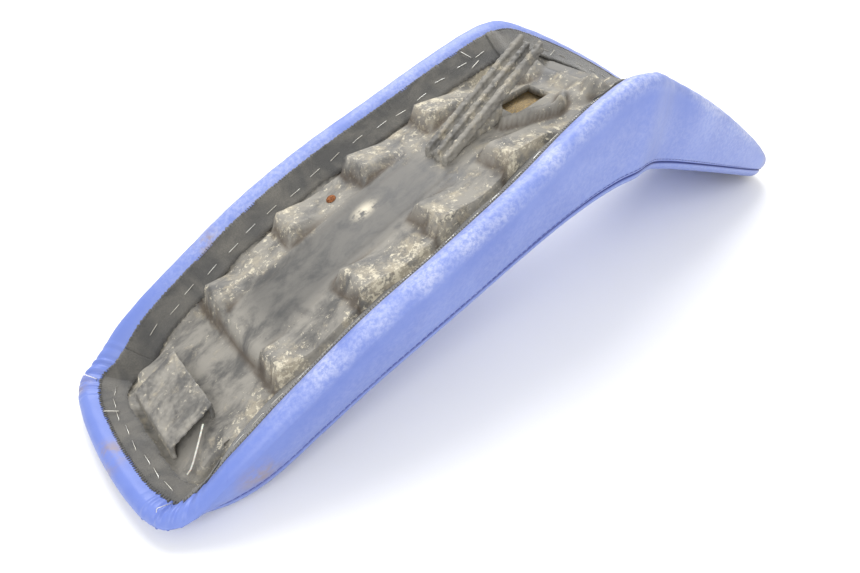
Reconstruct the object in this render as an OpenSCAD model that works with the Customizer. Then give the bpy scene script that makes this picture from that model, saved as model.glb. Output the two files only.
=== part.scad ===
// Off-road motorcycle seat, lying upside down on a bench as it does when its cover is stapled on.
// The moulded pan faces up (+Z), the nose points along +X, and Y = 0 is the plane of symmetry.
// The origin is on the bench, below the middle of the seat.

/* [Overall size] */
// Length from the rear end to the nose tip
seat_l = 690; // [560:5:830]
// Width across the widest part of the rim
seat_w = 202; // [168:1:243]
// Height of the rim's peak above the bench
peak_h = 196; // [163:1:236]

/* [Rim and pan] */
// Radius of the rounded rim, measured over the cover
rim_r = 9; // [7.5:0.5:11]
// Slope of the pan's flange along the two sides, in degrees
side_tilt = 38; // [31:1:46]
// Slope of the pan's flange across the two ends, in degrees
end_tilt = 16; // [13:1:20]
// Wall of the moulded pan
pan_t = 3; // [2:0.1:3.6]
// Height of the lip that the pan turns down at its rim
lip_h = 6; // [4:0.5:8]
// Height of the side blocks above the pan's floor
block_h = 15; // [12:0.5:18]
// Distance from one pair of side blocks to the next
block_pitch = 65; // [54:1:78]

/* [Hook and rear box] */
// Width of the front hook across its three ribs
hook_w = 26; // [21:1:32]
// Length of the front hook along the seat
hook_l = 84; // [70:1:98]
// Slope of the front hook, in degrees
hook_tilt = 35; // [30:1:42]
// Width of the raised box at the rear
box_w = 66; // [55:1:79]
// Height of the raised box above the pan's floor
box_h = 12; // [10:0.5:14]

/* [Cover and edging] */
// Thickness of the vinyl
vinyl_t = 1.2; // [0.8:0.1:1.5]
// Length of vinyl turned over the rim, past the rounded part
wrap_l = 4; // [3:0.5:6]
// Width of the felt edging
felt_w = 24; // [20:0.5:25]
// Thickness of the felt edging
felt_t = 1.4; // [1:0.1:1.8]
// Radius between the side panels and the riding surface
corner_r = 9; // [7:0.5:11]
// How far the riding surface rises from its middle to its edge
crown_h = 8; // [6:0.5:10]
// Clearance between a layer and the next
layer_gap = 0.2; // [0.1:0.05:0.4]

/* [Staples and thread] */
// Length of a staple's crown
staple_w = 10.6; // [9:0.1:12.7]
// Length of a staple's legs
staple_leg = 3; // [2:0.5:6]
// Width of the staple wire
staple_wire = 0.7; // [0.5:0.05:1]
// Distance from one staple to the next
staple_pitch = 22; // [18:1:27]
// Diameter of the sewing thread
thread_d = 0.8; // [0.6:0.1:1]

/* [Small pieces] */
// Diameter of the rivet's head in the pan
rivet_d = 8; // [6.5:0.5:9.5]
// Diameter of the rivet's shank
rivet_shank_d = 4; // [3:0.1:4.8]
// Width of the nylon tie's tail
tie_w = 2.4; // [1.6:0.1:3]
// Thickness of the nylon tie's tail
tie_t = 1; // [0.8:0.1:1.2]

/* [Hidden] */

// The curves below are drawn at this size, and stretched to the sizes above.
DRAWN_L = 690;
DRAWN_HALF_W = 101;
DRAWN_PEAK = 196;
kx = seat_l / DRAWN_L;
ky = seat_w / 2 / DRAWN_HALF_W;
kz = peak_h / DRAWN_PEAK;

// Half of the plan outline, from the middle of the rear end to the nose tip: [x, y, inward x, inward y].
OUTLINE = [
    [0, 0, 1, 0], [0.5, 25, 1, 0], [2, 48, 1, -0.1], [5, 67, 1, -0.42], [14, 83, 0.88, -0.66],
    [30, 92, 0.7, -0.88], [54, 96, 0.38, -0.94], [92, 98, 0.14, -1], [150, 100, 0, -1],
    [210, 101, 0, -1], [275, 98, 0, -1], [340, 92, 0, -1], [388, 89.5, 0, -1], [412, 89.5, 0, -1],
    [432, 84, -0.1, -1], [456, 77, 0, -1], [500, 76, 0, -1], [560, 73.5, -0.06, -1],
    [620, 70, -0.2, -0.97], [656, 65, -0.5, -0.88], [677, 53, -0.88, -0.62], [686, 34, -1, -0.25],
    [689.5, 16, -1, 0], [690, 0, -1, 0]];
REAR_CORNER = 4;  // the outline point at the rear corner
NOSE_CORNER = 20; // the outline point at the nose corner
LAST = len(OUTLINE) - 1;

// Height of the rim, and of the middle of the riding surface, along the seat: [x, z].
RIM = [[0, 21], [14, 27], [40, 46], [92, 76], [150, 107], [210, 132], [275, 156], [330, 178],
    [372, 192], [397, 196], [420, 192], [456, 175], [530, 134], [620, 76], [660, 47], [690, 26]];
RIDE = [[0, 12], [12, 4.5], [28, 1], [48, 0], [75, 6], [110, 20], [172, 44], [243, 67], [321, 89],
    [375, 99], [425, 100], [470, 88], [521, 69], [600, 37], [652, 15], [677, 4], [690, 0]];
// How far the riding surface's edge lies inside the rim, and the depth of the pan's floor below it.
WALL_IN = [[0, 11], [60, 9], [150, 12], [270, 12], [350, 8], [430, 6], [520, 3.5], [690, 3]];
DEPTH = [[0, 24], [30, 24], [90, 28], [330, 26], [400, 31], [450, 27], [560, 20], [640, 14], [690, 9]];

// Places across the seat where a line of points runs along it, as shares of the half width.
ACROSS = [-1, -0.75, -0.5, -0.42, -0.2, 0.2, 0.42, 0.5, 0.75, 1];
block_from = 0.46; // the side blocks stand outside this share

// A smooth curve through the points of a table.
function knot_slope(t, i) = let(a = max(0, i - 1), b = min(len(t) - 1, i + 1))
    (t[b][1] - t[a][1]) / (t[b][0] - t[a][0]);
function knot(t, x, i = 0) = i >= len(t) - 2 || x <= t[i + 1][0] ? i : knot(t, x, i + 1);
function curve(t, x) = let(i = knot(t, x), h = t[i + 1][0] - t[i][0],
    s = min(1, max(0, (x - t[i][0]) / h)), q = s * s)
    (2 * q * s - 3 * q + 1) * t[i][1] + (3 * q - 2 * q * s) * t[i + 1][1]
    + h * ((q * s - 2 * q + s) * knot_slope(t, i) + (q * s - q) * knot_slope(t, i + 1));
function mix(a, b, t) = a + (b - a) * t;
function clamp01(v) = min(1, max(0, v));
function ease(a, b, v) = let(t = clamp01((v - a) / (b - a))) t * t * (3 - 2 * t);

function rim_z(x) = kz * curve(RIM, x / kx);
function ride_z(x) = kz * curve(RIDE, x / kx);
function wall_in(x) = curve(WALL_IN, x / kx);

// The outline as a smooth curve, by point number: [x, y, inward x, inward y].
function flip(p) = [p[0], -p[1], p[2], -p[3]];
function drawn(i) = i < 0 ? flip(OUTLINE[-i]) : i > LAST ? flip(OUTLINE[2 * LAST - i]) : OUTLINE[i];
function half_outline(s) = let(i = min(LAST - 1, floor(s)), f = s - i,
    a = drawn(i - 1), b = drawn(i), c = drawn(i + 1), d = drawn(i + 2))
    0.5 * (2 * b + f * (c - a) + f * f * (2 * a - 5 * b + 4 * c - d) + f * f * f * (3 * b - a - 3 * c + d));
function placed(s, side) = let(p = half_outline(s)) [p[0] * kx, side * p[1] * ky, p[2], side * p[3]];

// The outline number at a distance along the seat.
function outline_at(x, lo = REAR_CORNER, hi = NOSE_CORNER, n = 14) = let(m = (lo + hi) / 2)
    n == 0 ? m : half_outline(m)[0] * kx < x ? outline_at(x, m, hi, n - 1) : outline_at(x, lo, m, n - 1);

// Features of the pan that need points of their own: the side blocks and the hole below the hook.
first_block_x = 96 * kx;
BLOCKS = [0 : 3];
function block_x(k) = first_block_x + k * block_pitch;
hook_x = 282 * kx;
hole_x = hook_x + hook_l - 6;
hole_l = 38;
edge_half = 1; // half the run of a steep face
KEY_X = concat([for (k = BLOCKS) each [block_x(k) - edge_half, block_x(k) + edge_half]],
    [hole_x - hole_l / 2, hole_x + hole_l / 2]);
KEYS = [for (x = KEY_X) outline_at(x)];

function sorted(v) = len(v) < 2 ? v : let(p = v[floor(len(v) / 2)])
    concat(sorted([for (x = v) if (x < p) x]), [p], sorted([for (x = v) if (x > p) x]));
plain_steps = 3 * (NOSE_CORNER - REAR_CORNER);
ALONG = sorted(concat(KEYS, [for (i = [0 : plain_steps])
    let(s = mix(REAR_CORNER, NOSE_CORNER, i / plain_steps)) if (min([for (k = KEYS) abs(k - s)]) > 0.12) s]));
side_steps = len(ALONG) - 1;
end_steps = len(ACROSS) - 1;

// The stations round the seat: across the rear, along the left, across the nose, along the right.
ROUND = concat(
    [for (j = [0 : end_steps - 1]) placed(abs(ACROSS[j]) * REAR_CORNER, sign(ACROSS[j]))],
    [for (i = [0 : side_steps - 1]) placed(ALONG[i], 1)],
    [for (j = [0 : end_steps - 1]) placed(mix(LAST, NOSE_CORNER, abs(ACROSS[j])), -sign(ACROSS[j]))],
    [for (i = [0 : side_steps - 1]) placed(ALONG[side_steps - i], -1)]);
STATIONS = len(ROUND);

function sideness(b) = abs(b[3]) / (abs(b[2]) + abs(b[3]));
function tilt(b) = mix(end_tilt, side_tilt, sideness(b));
function flange_l(b) = wrap_l + felt_w * mix(0.75, 1.05, sideness(b));
function inward(b, inset) = [b[0] + b[2] * inset, b[1] + b[3] * inset];
function at(b, inset, z) = concat(inward(b, inset), z);

// The rounded rim and lower corner, held to the thickness of the seat at its two thin ends.
function ride_pt(p, depth) = let(v = abs(p[1]) / (ky * DRAWN_HALF_W))
    [p[0], p[1], ride_z(p[0]) + crown_h * v * v * v + depth];
function ride_below(b) = ride_pt(inward(b, wall_in(b[0]) + corner_r), 0)[2];
function thin(b) = 0.42 * (rim_z(b[0]) - ride_below(b));
function rim_rad(b) = min(rim_r, thin(b));
function corner_rad(b) = min(corner_r, thin(b));
function rim_c(b) = rim_z(b[0]) - rim_rad(b);          // height of the centre of the rim's round
function corner_c(b) = ride_below(b) + corner_rad(b);  // height of the centre of the corner's round

// Points of the section at a station, at a depth below the outer face of the cover.
function rim_pt(b, depth, angle) = let(r = rim_rad(b) - depth)
    at(b, rim_rad(b) - r * cos(angle), rim_c(b) + r * sin(angle));
function flange_pt(b, depth, along) = rim_pt(b, depth, 90 + tilt(b))
    + along * [b[2] * cos(tilt(b)), b[3] * cos(tilt(b)), -sin(tilt(b))];
function wall_pt(b, depth, share) =
    at(b, depth + wall_in(b[0]) * share - 1.5 * sin(180 * share), mix(rim_c(b), corner_c(b), share));
function corner_pt(b, depth, angle) = let(r = corner_rad(b) - depth)
    at(b, wall_in(b[0]) + corner_rad(b) - r * cos(angle), corner_c(b) - r * sin(angle));
function ride_edge(b, depth) = let(e = inward(b, wall_in(b[0]) + corner_rad(b) + corner_r)) ride_pt(e, depth);

// The pan's floor: parallel to the rim, with a step behind the first blocks and two waves by the peak.
wave_x = [405 * kx, 436 * kx];
wave_h = 6;
wave_r = 9;
step_h = 6;
function wave(x, at_x) = wave_h * exp(-pow((x - at_x) / wave_r, 2));
function floor_z(x) = rim_z(x) - curve(DEPTH, x / kx) + wave(x, wave_x[0]) + wave(x, wave_x[1])
    + step_h * ease(first_block_x - edge_half, first_block_x + edge_half, x)
    - step_h * ease(block_x(3) + 10, block_x(3) + 70, x);
// A side block has a steep rear face and a level top, and ends where the rising floor reaches its top.
block_len = 45;
function block_top(k) = floor_z(block_x(k) + edge_half) + block_h;
function pan_top(x, across) = abs(across) < block_from ? floor_z(x) : max(concat([floor_z(x)],
    [for (k = BLOCKS) if (x > block_x(k) && x < block_x(k) + block_len) block_top(k)]));
floor_in = 5; // from the foot of the flange to the floor
function floor_edge(b, depth) = let(p = flange_pt(b, 0, flange_l(b) + floor_in),
    z = depth > 0 ? floor_z(p[0]) - depth : min(pan_top(p[0], sideness(b)), max(floor_z(p[0]), p[2])))
    [p[0], p[1], z];

// A grid that fills the ring of one point per station, as [x, y] pairs.
function coons(e, i, j) = let(n = STATIONS, v = (ACROSS[j] + 1) / 2,
    u = (ALONG[i] - REAR_CORNER) / (NOSE_CORNER - REAR_CORNER),
    r0 = e[j], r1 = e[end_steps + side_steps + end_steps - j],
    s0 = e[(n - i) % n], s1 = e[end_steps + i],
    c00 = e[0], c01 = e[end_steps], c11 = e[end_steps + side_steps], c10 = e[2 * end_steps + side_steps])
    (1 - u) * r0 + u * r1 + (1 - v) * s0 + v * s1
    - (1 - u) * (1 - v) * c00 - (1 - u) * v * c01 - u * v * c11 - u * (1 - v) * c10;
function ring_at(i, j) = i == 0 ? j : j == end_steps ? end_steps + i
    : i == side_steps ? 2 * end_steps + side_steps - j : j == 0 ? (STATIONS - i) % STATIONS : -1;
function inner_at(i, j) = (i - 1) * (end_steps - 1) + j - 1;
inner_count = (side_steps - 1) * (end_steps - 1);
function flat(e) = [for (p = e) [p[0], p[1]]];
function inner_xy(e) = [for (i = [1 : side_steps - 1]) for (j = [1 : end_steps - 1]) coons(flat(e), i, j)];
function grid_at(ring0, inner0, i, j) =
    let(k = ring_at(i, j)) k < 0 ? inner0 + inner_at(i, j) : ring0 + k;
function in_hole(hole, i, j) = hole != [] && i >= hole[0] && i < hole[1] && j >= hole[2] && j < hole[3];
function grid_faces(ring0, inner0, up, hole) = [for (i = [0 : side_steps - 1]) for (j = [0 : end_steps - 1])
    if (!in_hole(hole, i, j))
    let(q = [for (c = [[i, j], [i + 1, j], [i + 1, j + 1], [i, j + 1]]) grid_at(ring0, inner0, c[0], c[1])])
        up ? [q[3], q[2], q[1], q[0]] : q];
// The edges round a hole in the grid, as pairs of places, in the order that faces its walls inwards.
function hole_edges(h) = h == [] ? [] : concat(
    [for (i = [h[0] : h[1] - 1]) [[i, h[3]], [i + 1, h[3]]]],
    [for (j = [h[2] : h[3] - 1]) [[h[1], j + 1], [h[1], j]]],
    [for (i = [h[0] : h[1] - 1]) [[i + 1, h[2]], [i, h[2]]]],
    [for (j = [h[2] : h[3] - 1]) [[h[0], j], [h[0], j + 1]]]);

// Four-sided faces cut in two, because most of them are slightly twisted.
function split(quads) = [for (q = quads) each [[q[0], q[1], q[2]], [q[0], q[2], q[3]]]];

// A closed solid from a stack of rings, with a grid of points over its first ring and under its last.
module stacked(rings, first, last, hole = []) {
    n = STATIONS;
    all_rings = [for (r = rings) each r];
    top = len(rings) - 1;
    inner0 = len(all_rings);
    inner1 = inner0 + inner_count;
    polyhedron(concat(all_rings, first, last), split(concat(
        grid_faces(0, inner0, true, hole),
        [for (e = hole_edges(hole)) [grid_at(0, inner0, e[0][0], e[0][1]), grid_at(0, inner0, e[1][0], e[1][1]),
            grid_at(top * n, inner1, e[1][0], e[1][1]), grid_at(top * n, inner1, e[0][0], e[0][1])]],
        [for (k = [0 : top - 1]) for (i = [0 : n - 1]) let(m = (i + 1) % n)
            [(k + 1) * n + i, (k + 1) * n + m, k * n + m, k * n + i]],
        grid_faces(top * n, inner1, false, hole))), convexity = 8);
}

// A thin solid between two faces, each a list of rows with the same number of points.
module sheet(outer, inner) {
    rows = len(outer);
    cols = len(outer[0]);
    back = rows * cols;
    function o(r, c) = r * cols + c;
    polyhedron(concat([for (r = outer) each r], [for (r = inner) each r]), split(concat(
        [for (r = [0 : rows - 2]) for (c = [0 : cols - 2])
            [o(r, c), o(r, c + 1), o(r + 1, c + 1), o(r + 1, c)]],
        [for (r = [0 : rows - 2]) for (c = [0 : cols - 2])
            [back + o(r + 1, c), back + o(r + 1, c + 1), back + o(r, c + 1), back + o(r, c)]],
        [for (r = [0 : rows - 2]) [o(r, 0), o(r + 1, 0), back + o(r + 1, 0), back + o(r, 0)]],
        [for (r = [0 : rows - 2])
            [back + o(r, cols - 1), back + o(r + 1, cols - 1), o(r + 1, cols - 1), o(r, cols - 1)]],
        [for (c = [0 : cols - 2]) [back + o(0, c), back + o(0, c + 1), o(0, c + 1), o(0, c)]],
        [for (c = [0 : cols - 2])
            [o(rows - 1, c), o(rows - 1, c + 1), back + o(rows - 1, c + 1), back + o(rows - 1, c)]])),
        convexity = 8);
}

// A thread of square section along a list of points, closed on itself or with two ends.
module thread(path, closed = false) {
    n = len(path);
    r = thread_d / 2;
    function ahead(i) = closed ? path[(i + 1) % n] - path[(i + n - 1) % n]
        : path[min(n - 1, i + 1)] - path[max(0, i - 1)];
    function unit(v) = v / norm(v);
    pts = [for (i = [0 : n - 1]) let(side = unit(cross(ahead(i), [0, 0, 1])), up = unit(cross(side, ahead(i))))
        each [path[i] + r * side, path[i] + r * up, path[i] - r * side, path[i] - r * up]];
    polyhedron(pts, split(concat(
        [for (i = [0 : closed ? n - 1 : n - 2]) for (c = [0 : 3]) let(j = (i + 1) % n, d = (c + 1) % 4)
            [4 * i + d, 4 * j + d, 4 * j + c, 4 * i + c]],
        closed ? [] : [[3, 2, 1, 0], [4 * n - 4, 4 * n - 3, 4 * n - 2, 4 * n - 1]])), convexity = 8);
}

// Depths of the layers below the outer face of the cover.
pan_d = vinyl_t + layer_gap;
under_d = pan_d + pan_t;
foam_d = under_d + layer_gap;

// Stations where one piece ends and the next begins.
function station_at(x) = end_steps + len([for (s = ALONG) if (s < outline_at(x * kx)) s]);
REAR_END = station_at(40);        // the rear panel meets the left side panel
NOSE_TIP = end_steps + side_steps + (end_steps + 1) / 2;
NOSE_LAP = station_at(384);       // the nose edging laps over the side edging
function wrap_round(i) = ROUND[(i + STATIONS) % STATIONS];
function mirrored(i) = end_steps - i; // the station across the seat
function span(a, b) = [for (i = [a : b]) wrap_round(i)];

lip_gap_end = 0.6; // the lip takes no more of the wall than this
function lip_share(b) = min(lip_gap_end, lip_h / (rim_c(b) - corner_c(b)));
function lip_end_share(b) = lip_share(b) + layer_gap / (rim_c(b) - corner_c(b));

function floor_edges(depth) = [for (b = ROUND) floor_edge(b, depth)];
function ride_edges(depth) = [for (b = ROUND) ride_edge(b, depth)];
function floor_grid(depth) = let(e = flat(floor_edges(0)))
    [for (i = [1 : side_steps - 1]) for (j = [1 : end_steps - 1]) let(p = coons(e, i, j))
        [p[0], p[1], depth > 0 ? floor_z(p[0]) - depth : pan_top(p[0], ACROSS[j])]];
function ride_grid(depth) = [for (p = inner_xy(ride_edges(0))) ride_pt(p, depth)];

function edging_top(b) = vinyl_t - felt_t;

// The hole below the hook, where the foam shows: from one pair of lines of points to the next.
HOLE = [station_at((hole_x - hole_l / 2) / kx) - end_steps, station_at((hole_x + hole_l / 2) / kx) - end_steps, 4, 5];

module seat_pan_shell() {
    stacked([
        floor_edges(0),
        [for (b = ROUND) flange_pt(b, pan_d, flange_l(b))],
        [for (b = ROUND) flange_pt(b, pan_d, 0)],
        [for (b = ROUND) rim_pt(b, pan_d, 90)],
        [for (b = ROUND) rim_pt(b, pan_d, 45)],
        [for (b = ROUND) rim_pt(b, pan_d, 0)],
        [for (b = ROUND) wall_pt(b, pan_d, lip_share(b))],
        [for (b = ROUND) wall_pt(b, under_d, lip_share(b))],
        [for (b = ROUND) rim_pt(b, under_d, 0)],
        [for (b = ROUND) rim_pt(b, under_d, 45)],
        [for (b = ROUND) flange_pt(b, under_d, 0)],
        [for (b = ROUND) flange_pt(b, under_d, flange_l(b))],
        floor_edges(pan_t)], floor_grid(0), floor_grid(pan_t), hole = HOLE);
}

// The front hook: a plate with three ribs that rises from the floor and runs out over the hole.
hook_plate = 4;
rib_d = 5;
rib_h = 5;
web_share = 0.55; // the part of the hook that webs join to the floor
function hook_pt(share, y, up) = [hook_x + hook_l * share, y,
    floor_z(hook_x) + hook_l * share * tan(hook_tilt) + hook_plate / 2 + 2 * layer_gap + up];
module hook_bar(y, to, up, wide, high) {
    hull() for (share = [0, to]) translate(hook_pt(share, y, up)) cube([2, wide, high], center = true);
}
module front_hook() {
    edge = (hook_w - rib_d) / 2;
    web_x = hook_x + hook_l * web_share;
    color("#55554f") {
        for (y = [-edge, 0, edge]) hook_bar(y, 1, (hook_plate + rib_h) / 2 - 1, rib_d, rib_h + 2);
        hook_bar(0, 0.96, 0, hook_w - 1, hook_plate);
        for (side = [-1, 1]) hull() {
            for (share = [0.04, web_share]) translate(hook_pt(share, side * edge, 0)) cube(2.4, center = true);
            translate([web_x, side * edge, floor_z(web_x) + 2]) cube(2.4, center = true);
        }
    }
}

// The raised box at the rear: its top runs parallel to the floor, and its right side is open.
box_x = 34 * kx;
box_l = 28 * kx;
box_wall = 3;
box_gap = 4 * layer_gap;
module box_block(inset, y0, y1, drop) {
    hull() for (x = [box_x + inset, box_x + box_l - inset - 1])
        translate([x, y0, floor_z(x) + box_gap - drop]) cube([1, y1 - y0, box_h - inset + drop]);
}
module rear_box() {
    color("#55554f") difference() {
        box_block(0, -box_w / 2, box_w / 2, 0);
        box_block(box_wall, -box_w, box_w / 2 - box_wall, box_wall);
    }
}

rivet_x = 204 * kx;
rivet_y = 42;
rivet_slope = 23;
module at_rivet() {
    translate([rivet_x, rivet_y, floor_z(rivet_x)]) rotate([0, -rivet_slope, 0]) children();
}

module seat_pan() {
    color("#4a4a46") difference() {
        seat_pan_shell();
        at_rivet() cylinder(d = rivet_shank_d + 2 * layer_gap, h = 6 * pan_t, center = true, $fn = 12);
    }
}

module foam_core() {
    color("#d9b65c") stacked([
        floor_edges(pan_t + layer_gap),
        [for (b = ROUND) flange_pt(b, foam_d, flange_l(b))],
        [for (b = ROUND) flange_pt(b, foam_d, 0)],
        [for (b = ROUND) rim_pt(b, foam_d, 45)],
        [for (b = ROUND) rim_pt(b, foam_d, 0)],
        [for (b = ROUND) wall_pt(b, foam_d, lip_end_share(b))],
        [for (b = ROUND) wall_pt(b, pan_d, lip_end_share(b))],
        [for (b = ROUND) wall_pt(b, pan_d, (1 + lip_end_share(b)) / 2)],
        [for (b = ROUND) corner_pt(b, pan_d, 0)],
        [for (b = ROUND) corner_pt(b, pan_d, 45)],
        ride_edges(pan_d)], floor_grid(pan_t + layer_gap), ride_grid(pan_d));
}

// The sewn cover: a riding surface, two sides and a rear panel.
module cover_top() {
    color("#5a6cc8") stacked([
        ride_edges(vinyl_t),
        [for (b = ROUND) corner_pt(b, vinyl_t, 45)],
        [for (b = ROUND) corner_pt(b, vinyl_t, 0)],
        [for (b = ROUND) corner_pt(b, 0, 0)],
        [for (b = ROUND) corner_pt(b, 0, 45)],
        ride_edges(0)], ride_grid(vinyl_t), ride_grid(0));
}
function panel_row(b, depth) = [flange_pt(b, depth, wrap_l), flange_pt(b, depth, 0), rim_pt(b, depth, 90),
    rim_pt(b, depth, 45), rim_pt(b, depth, 0), wall_pt(b, depth, 1 / 3), wall_pt(b, depth, 2 / 3),
    corner_pt(b, depth, 0)];
module cover_panel(from, to) {
    color("#4c5fc4") sheet([for (b = span(from, to)) panel_row(b, 0)],
        [for (b = span(from, to)) panel_row(b, vinyl_t)]);
}
module cover_side_left() cover_panel(REAR_END, NOSE_TIP);
module cover_side_right() cover_panel(NOSE_TIP, STATIONS + mirrored(REAR_END));
module cover_rear() cover_panel(mirrored(REAR_END), REAR_END);

// Sewing thread beside the seam round the riding surface, and round the edging.
function seam_path(from, to) = [for (b = span(from, to)) wall_pt(b, -thread_d / 2, 0.96)];
module seam(from, to) color("#2c3570") thread(seam_path(from, to));
module seam_thread_left() seam(REAR_END, NOSE_TIP);
module seam_thread_right() seam(NOSE_TIP, STATIONS + mirrored(REAR_END));
module seam_thread_rear() seam(mirrored(REAR_END), REAR_END);
module edging_thread() {
    color("#26262a") thread([for (b = ROUND) flange_pt(b, -thread_d / 2, wrap_l - thread_d)], closed = true);
}

// Felt edging, sewn to the vinyl's edge. Where two strips meet, one laps over the other.
lap_lift = felt_t + layer_gap;
module edging(from, to, lap = 0) {
    function lift(i) = lap == 0 ? 0 : lap_lift * (1 - ease(lap, lap + 2, min(i - from, to - i)));
    function row(i, depth) = let(b = wrap_round(i), d = depth - lift(i), s0 = wrap_l + layer_gap, s1 = flange_l(b))
        [flange_pt(b, d, s1), flange_pt(b, d, (s0 + s1) / 2), flange_pt(b, d, s0)];
    color("#2b2b2d") sheet([for (i = [from : to]) row(i, vinyl_t - felt_t)], [for (i = [from : to]) row(i, vinyl_t)]);
}
module edging_left() edging(end_steps, NOSE_LAP + 2);
module edging_right() edging(mirrored(NOSE_LAP + 2), mirrored(end_steps));
module edging_rear() edging(mirrored(end_steps + 3), end_steps + 3, lap = 3);
module edging_nose() edging(NOSE_LAP, STATIONS + mirrored(NOSE_LAP), lap = 2);

// One staple, its crown along the strip and its legs through the felt into the pan.
staple_h = 0.5;
module staple() {
    translate([-staple_w / 2, -staple_wire / 2, 0]) cube([staple_w, staple_wire, staple_h]);
    for (x = [-1, 1]) translate([x * (staple_w - staple_wire) / 2, 0, staple_h - staple_leg / 2])
        cube([staple_wire, staple_wire, staple_leg], center = true);
}
// Sets its child on the flange by outline number, side, distance down the flange, turn and height.
module on_flange(s, side, along, turn = 0, up = 0) {
    b = placed(s, side);
    a = flange_pt(placed(s - 0.02, side), edging_top(b), along);
    c = flange_pt(placed(s + 0.02, side), edging_top(b), along);
    t = (c - a) / norm(c - a);
    down = [b[2] * cos(tilt(b)), b[3] * cos(tilt(b)), -sin(tilt(b))];
    n0 = cross(down, t) * (cross(down, t)[2] < 0 ? -1 : 1);
    n = n0 / norm(n0);
    w = cross(n, t);
    o = (a + c) / 2 + n * up;
    multmatrix([[t[0], w[0], n[0], o[0]], [t[1], w[1], n[1], o[1]], [t[2], w[2], n[2], o[2]], [0, 0, 0, 1]])
        rotate(turn) children();
}
staple_along = wrap_l + 0.55 * felt_w;
module staple_row(side, from_x, to_x) {
    count = max(1, floor((to_x - from_x) / (staple_pitch * 0.92)));
    color("silver") for (k = [0 : count])
        on_flange(outline_at(mix(from_x, to_x, k / count)), side, staple_along) staple();
}
row_from = 46 * kx;
row_to = 372 * kx;
nose_from = 418 * kx;
nose_to = 648 * kx;
module staples_left() staple_row(1, row_from, row_to);
module staples_right() staple_row(-1, row_from, row_to);
module staples_rear() {
    color("silver") for (side = [-1, 1]) for (s = [0.33, 1, 1.67, 2.6])
        on_flange(s, side, wrap_l + 0.5 * felt_w) staple();
}
module staples_nose() {
    staple_row(1, nose_from, nose_to);
    staple_row(-1, nose_from, nose_to);
    color("silver") for (side = [-1, 1]) for (k = [0.35, 1.1, 1.9])
        on_flange(LAST - k, side, wrap_l + 0.5 * felt_w) staple();
}
// Staples that went in askew: [outline number, side, distance down the flange, turn].
STRAY = [[3.5, 1, -1, 75], [3.6, -1, -1, 70], [1.2, 1, wrap_l + 3, 70], [11.35, 1, wrap_l + 5, -65],
    [11.4, 1, wrap_l + 17, 14], [14.6, 1, wrap_l + 15, 50]];
module staples_stray() {
    color("silver") for (s = STRAY) on_flange(s[0], s[1], s[2], s[3], lap_lift) staple();
}

module drain_rivet() {
    head_h = 1.6;
    color("#a8501e") at_rivet() rotate_extrude($fn = 48) polygon(concat(
        [[0, -pan_t - 1], [rivet_shank_d / 2, -pan_t - 1], [rivet_shank_d / 2, layer_gap]],
        [for (a = [0 : 15 : 90]) [rivet_d / 2 * cos(a), layer_gap + head_h * sin(a)]]));
}

// The cut tail of a nylon tie, from the box's open side down to the edging at the rear corner.
TIE = [[49, -35.5, 34], [44, -41, 31], [37, -47, 25], [31, -51, 19], [27, -52, 16]];
module cable_tie_tail() {
    color("#e8e6dc") for (k = [0 : len(TIE) - 2]) hull() for (p = [TIE[k], TIE[k + 1]])
        translate([p[0] * kx, p[1] * ky, p[2] * kz]) cube([tie_t, tie_w, tie_t], center = true);
}

// The curves start at the rear end, and the origin is below the middle.
module centred() translate([-seat_l / 2, 0, 0]) children();

centred() seat_pan();
centred() front_hook();
centred() rear_box();
centred() foam_core();
centred() cover_top();
centred() cover_side_left();
centred() cover_side_right();
centred() cover_rear();
centred() seam_thread_left();
centred() seam_thread_right();
centred() seam_thread_rear();
centred() edging_left();
centred() edging_right();
centred() edging_rear();
centred() edging_nose();
centred() edging_thread();
centred() staples_left();
centred() staples_right();
centred() staples_rear();
centred() staples_nose();
centred() staples_stray();
centred() drain_rivet();
centred() cable_tie_tail();
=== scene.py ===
# %% [markdown]
# # An off-road motorcycle seat, lying upside down
#
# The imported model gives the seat's hard facts: where each layer lies and how large it is. The
# pieces made here stand in its place with the finish of the real things: stretched vinyl, felt
# edging held by staples, a dusty moulded pan, and the foam between them.

# %% Load the frame
import math
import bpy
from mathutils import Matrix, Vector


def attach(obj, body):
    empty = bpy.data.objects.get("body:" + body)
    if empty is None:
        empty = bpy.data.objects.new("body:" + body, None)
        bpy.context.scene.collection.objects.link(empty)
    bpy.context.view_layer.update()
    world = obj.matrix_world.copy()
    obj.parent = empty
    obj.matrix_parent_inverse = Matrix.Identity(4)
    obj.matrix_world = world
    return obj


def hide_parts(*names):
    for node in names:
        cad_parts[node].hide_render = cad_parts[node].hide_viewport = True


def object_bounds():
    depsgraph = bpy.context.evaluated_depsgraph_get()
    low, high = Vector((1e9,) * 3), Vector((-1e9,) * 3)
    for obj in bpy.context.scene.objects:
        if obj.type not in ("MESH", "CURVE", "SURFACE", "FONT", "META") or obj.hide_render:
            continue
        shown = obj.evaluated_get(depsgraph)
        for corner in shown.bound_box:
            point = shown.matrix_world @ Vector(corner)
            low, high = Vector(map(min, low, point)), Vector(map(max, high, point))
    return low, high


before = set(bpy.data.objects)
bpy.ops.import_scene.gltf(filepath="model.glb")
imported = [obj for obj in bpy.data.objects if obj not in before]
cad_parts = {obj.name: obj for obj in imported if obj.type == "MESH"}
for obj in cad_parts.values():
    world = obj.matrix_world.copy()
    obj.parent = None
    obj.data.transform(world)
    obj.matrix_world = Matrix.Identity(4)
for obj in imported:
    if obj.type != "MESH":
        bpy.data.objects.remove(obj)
cad_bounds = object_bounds()
cad_low, cad_high = cad_bounds
BODY = "root"
print("CAD box:", [round(v, 4) for v in cad_low], [round(v, 4) for v in cad_high])

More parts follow.
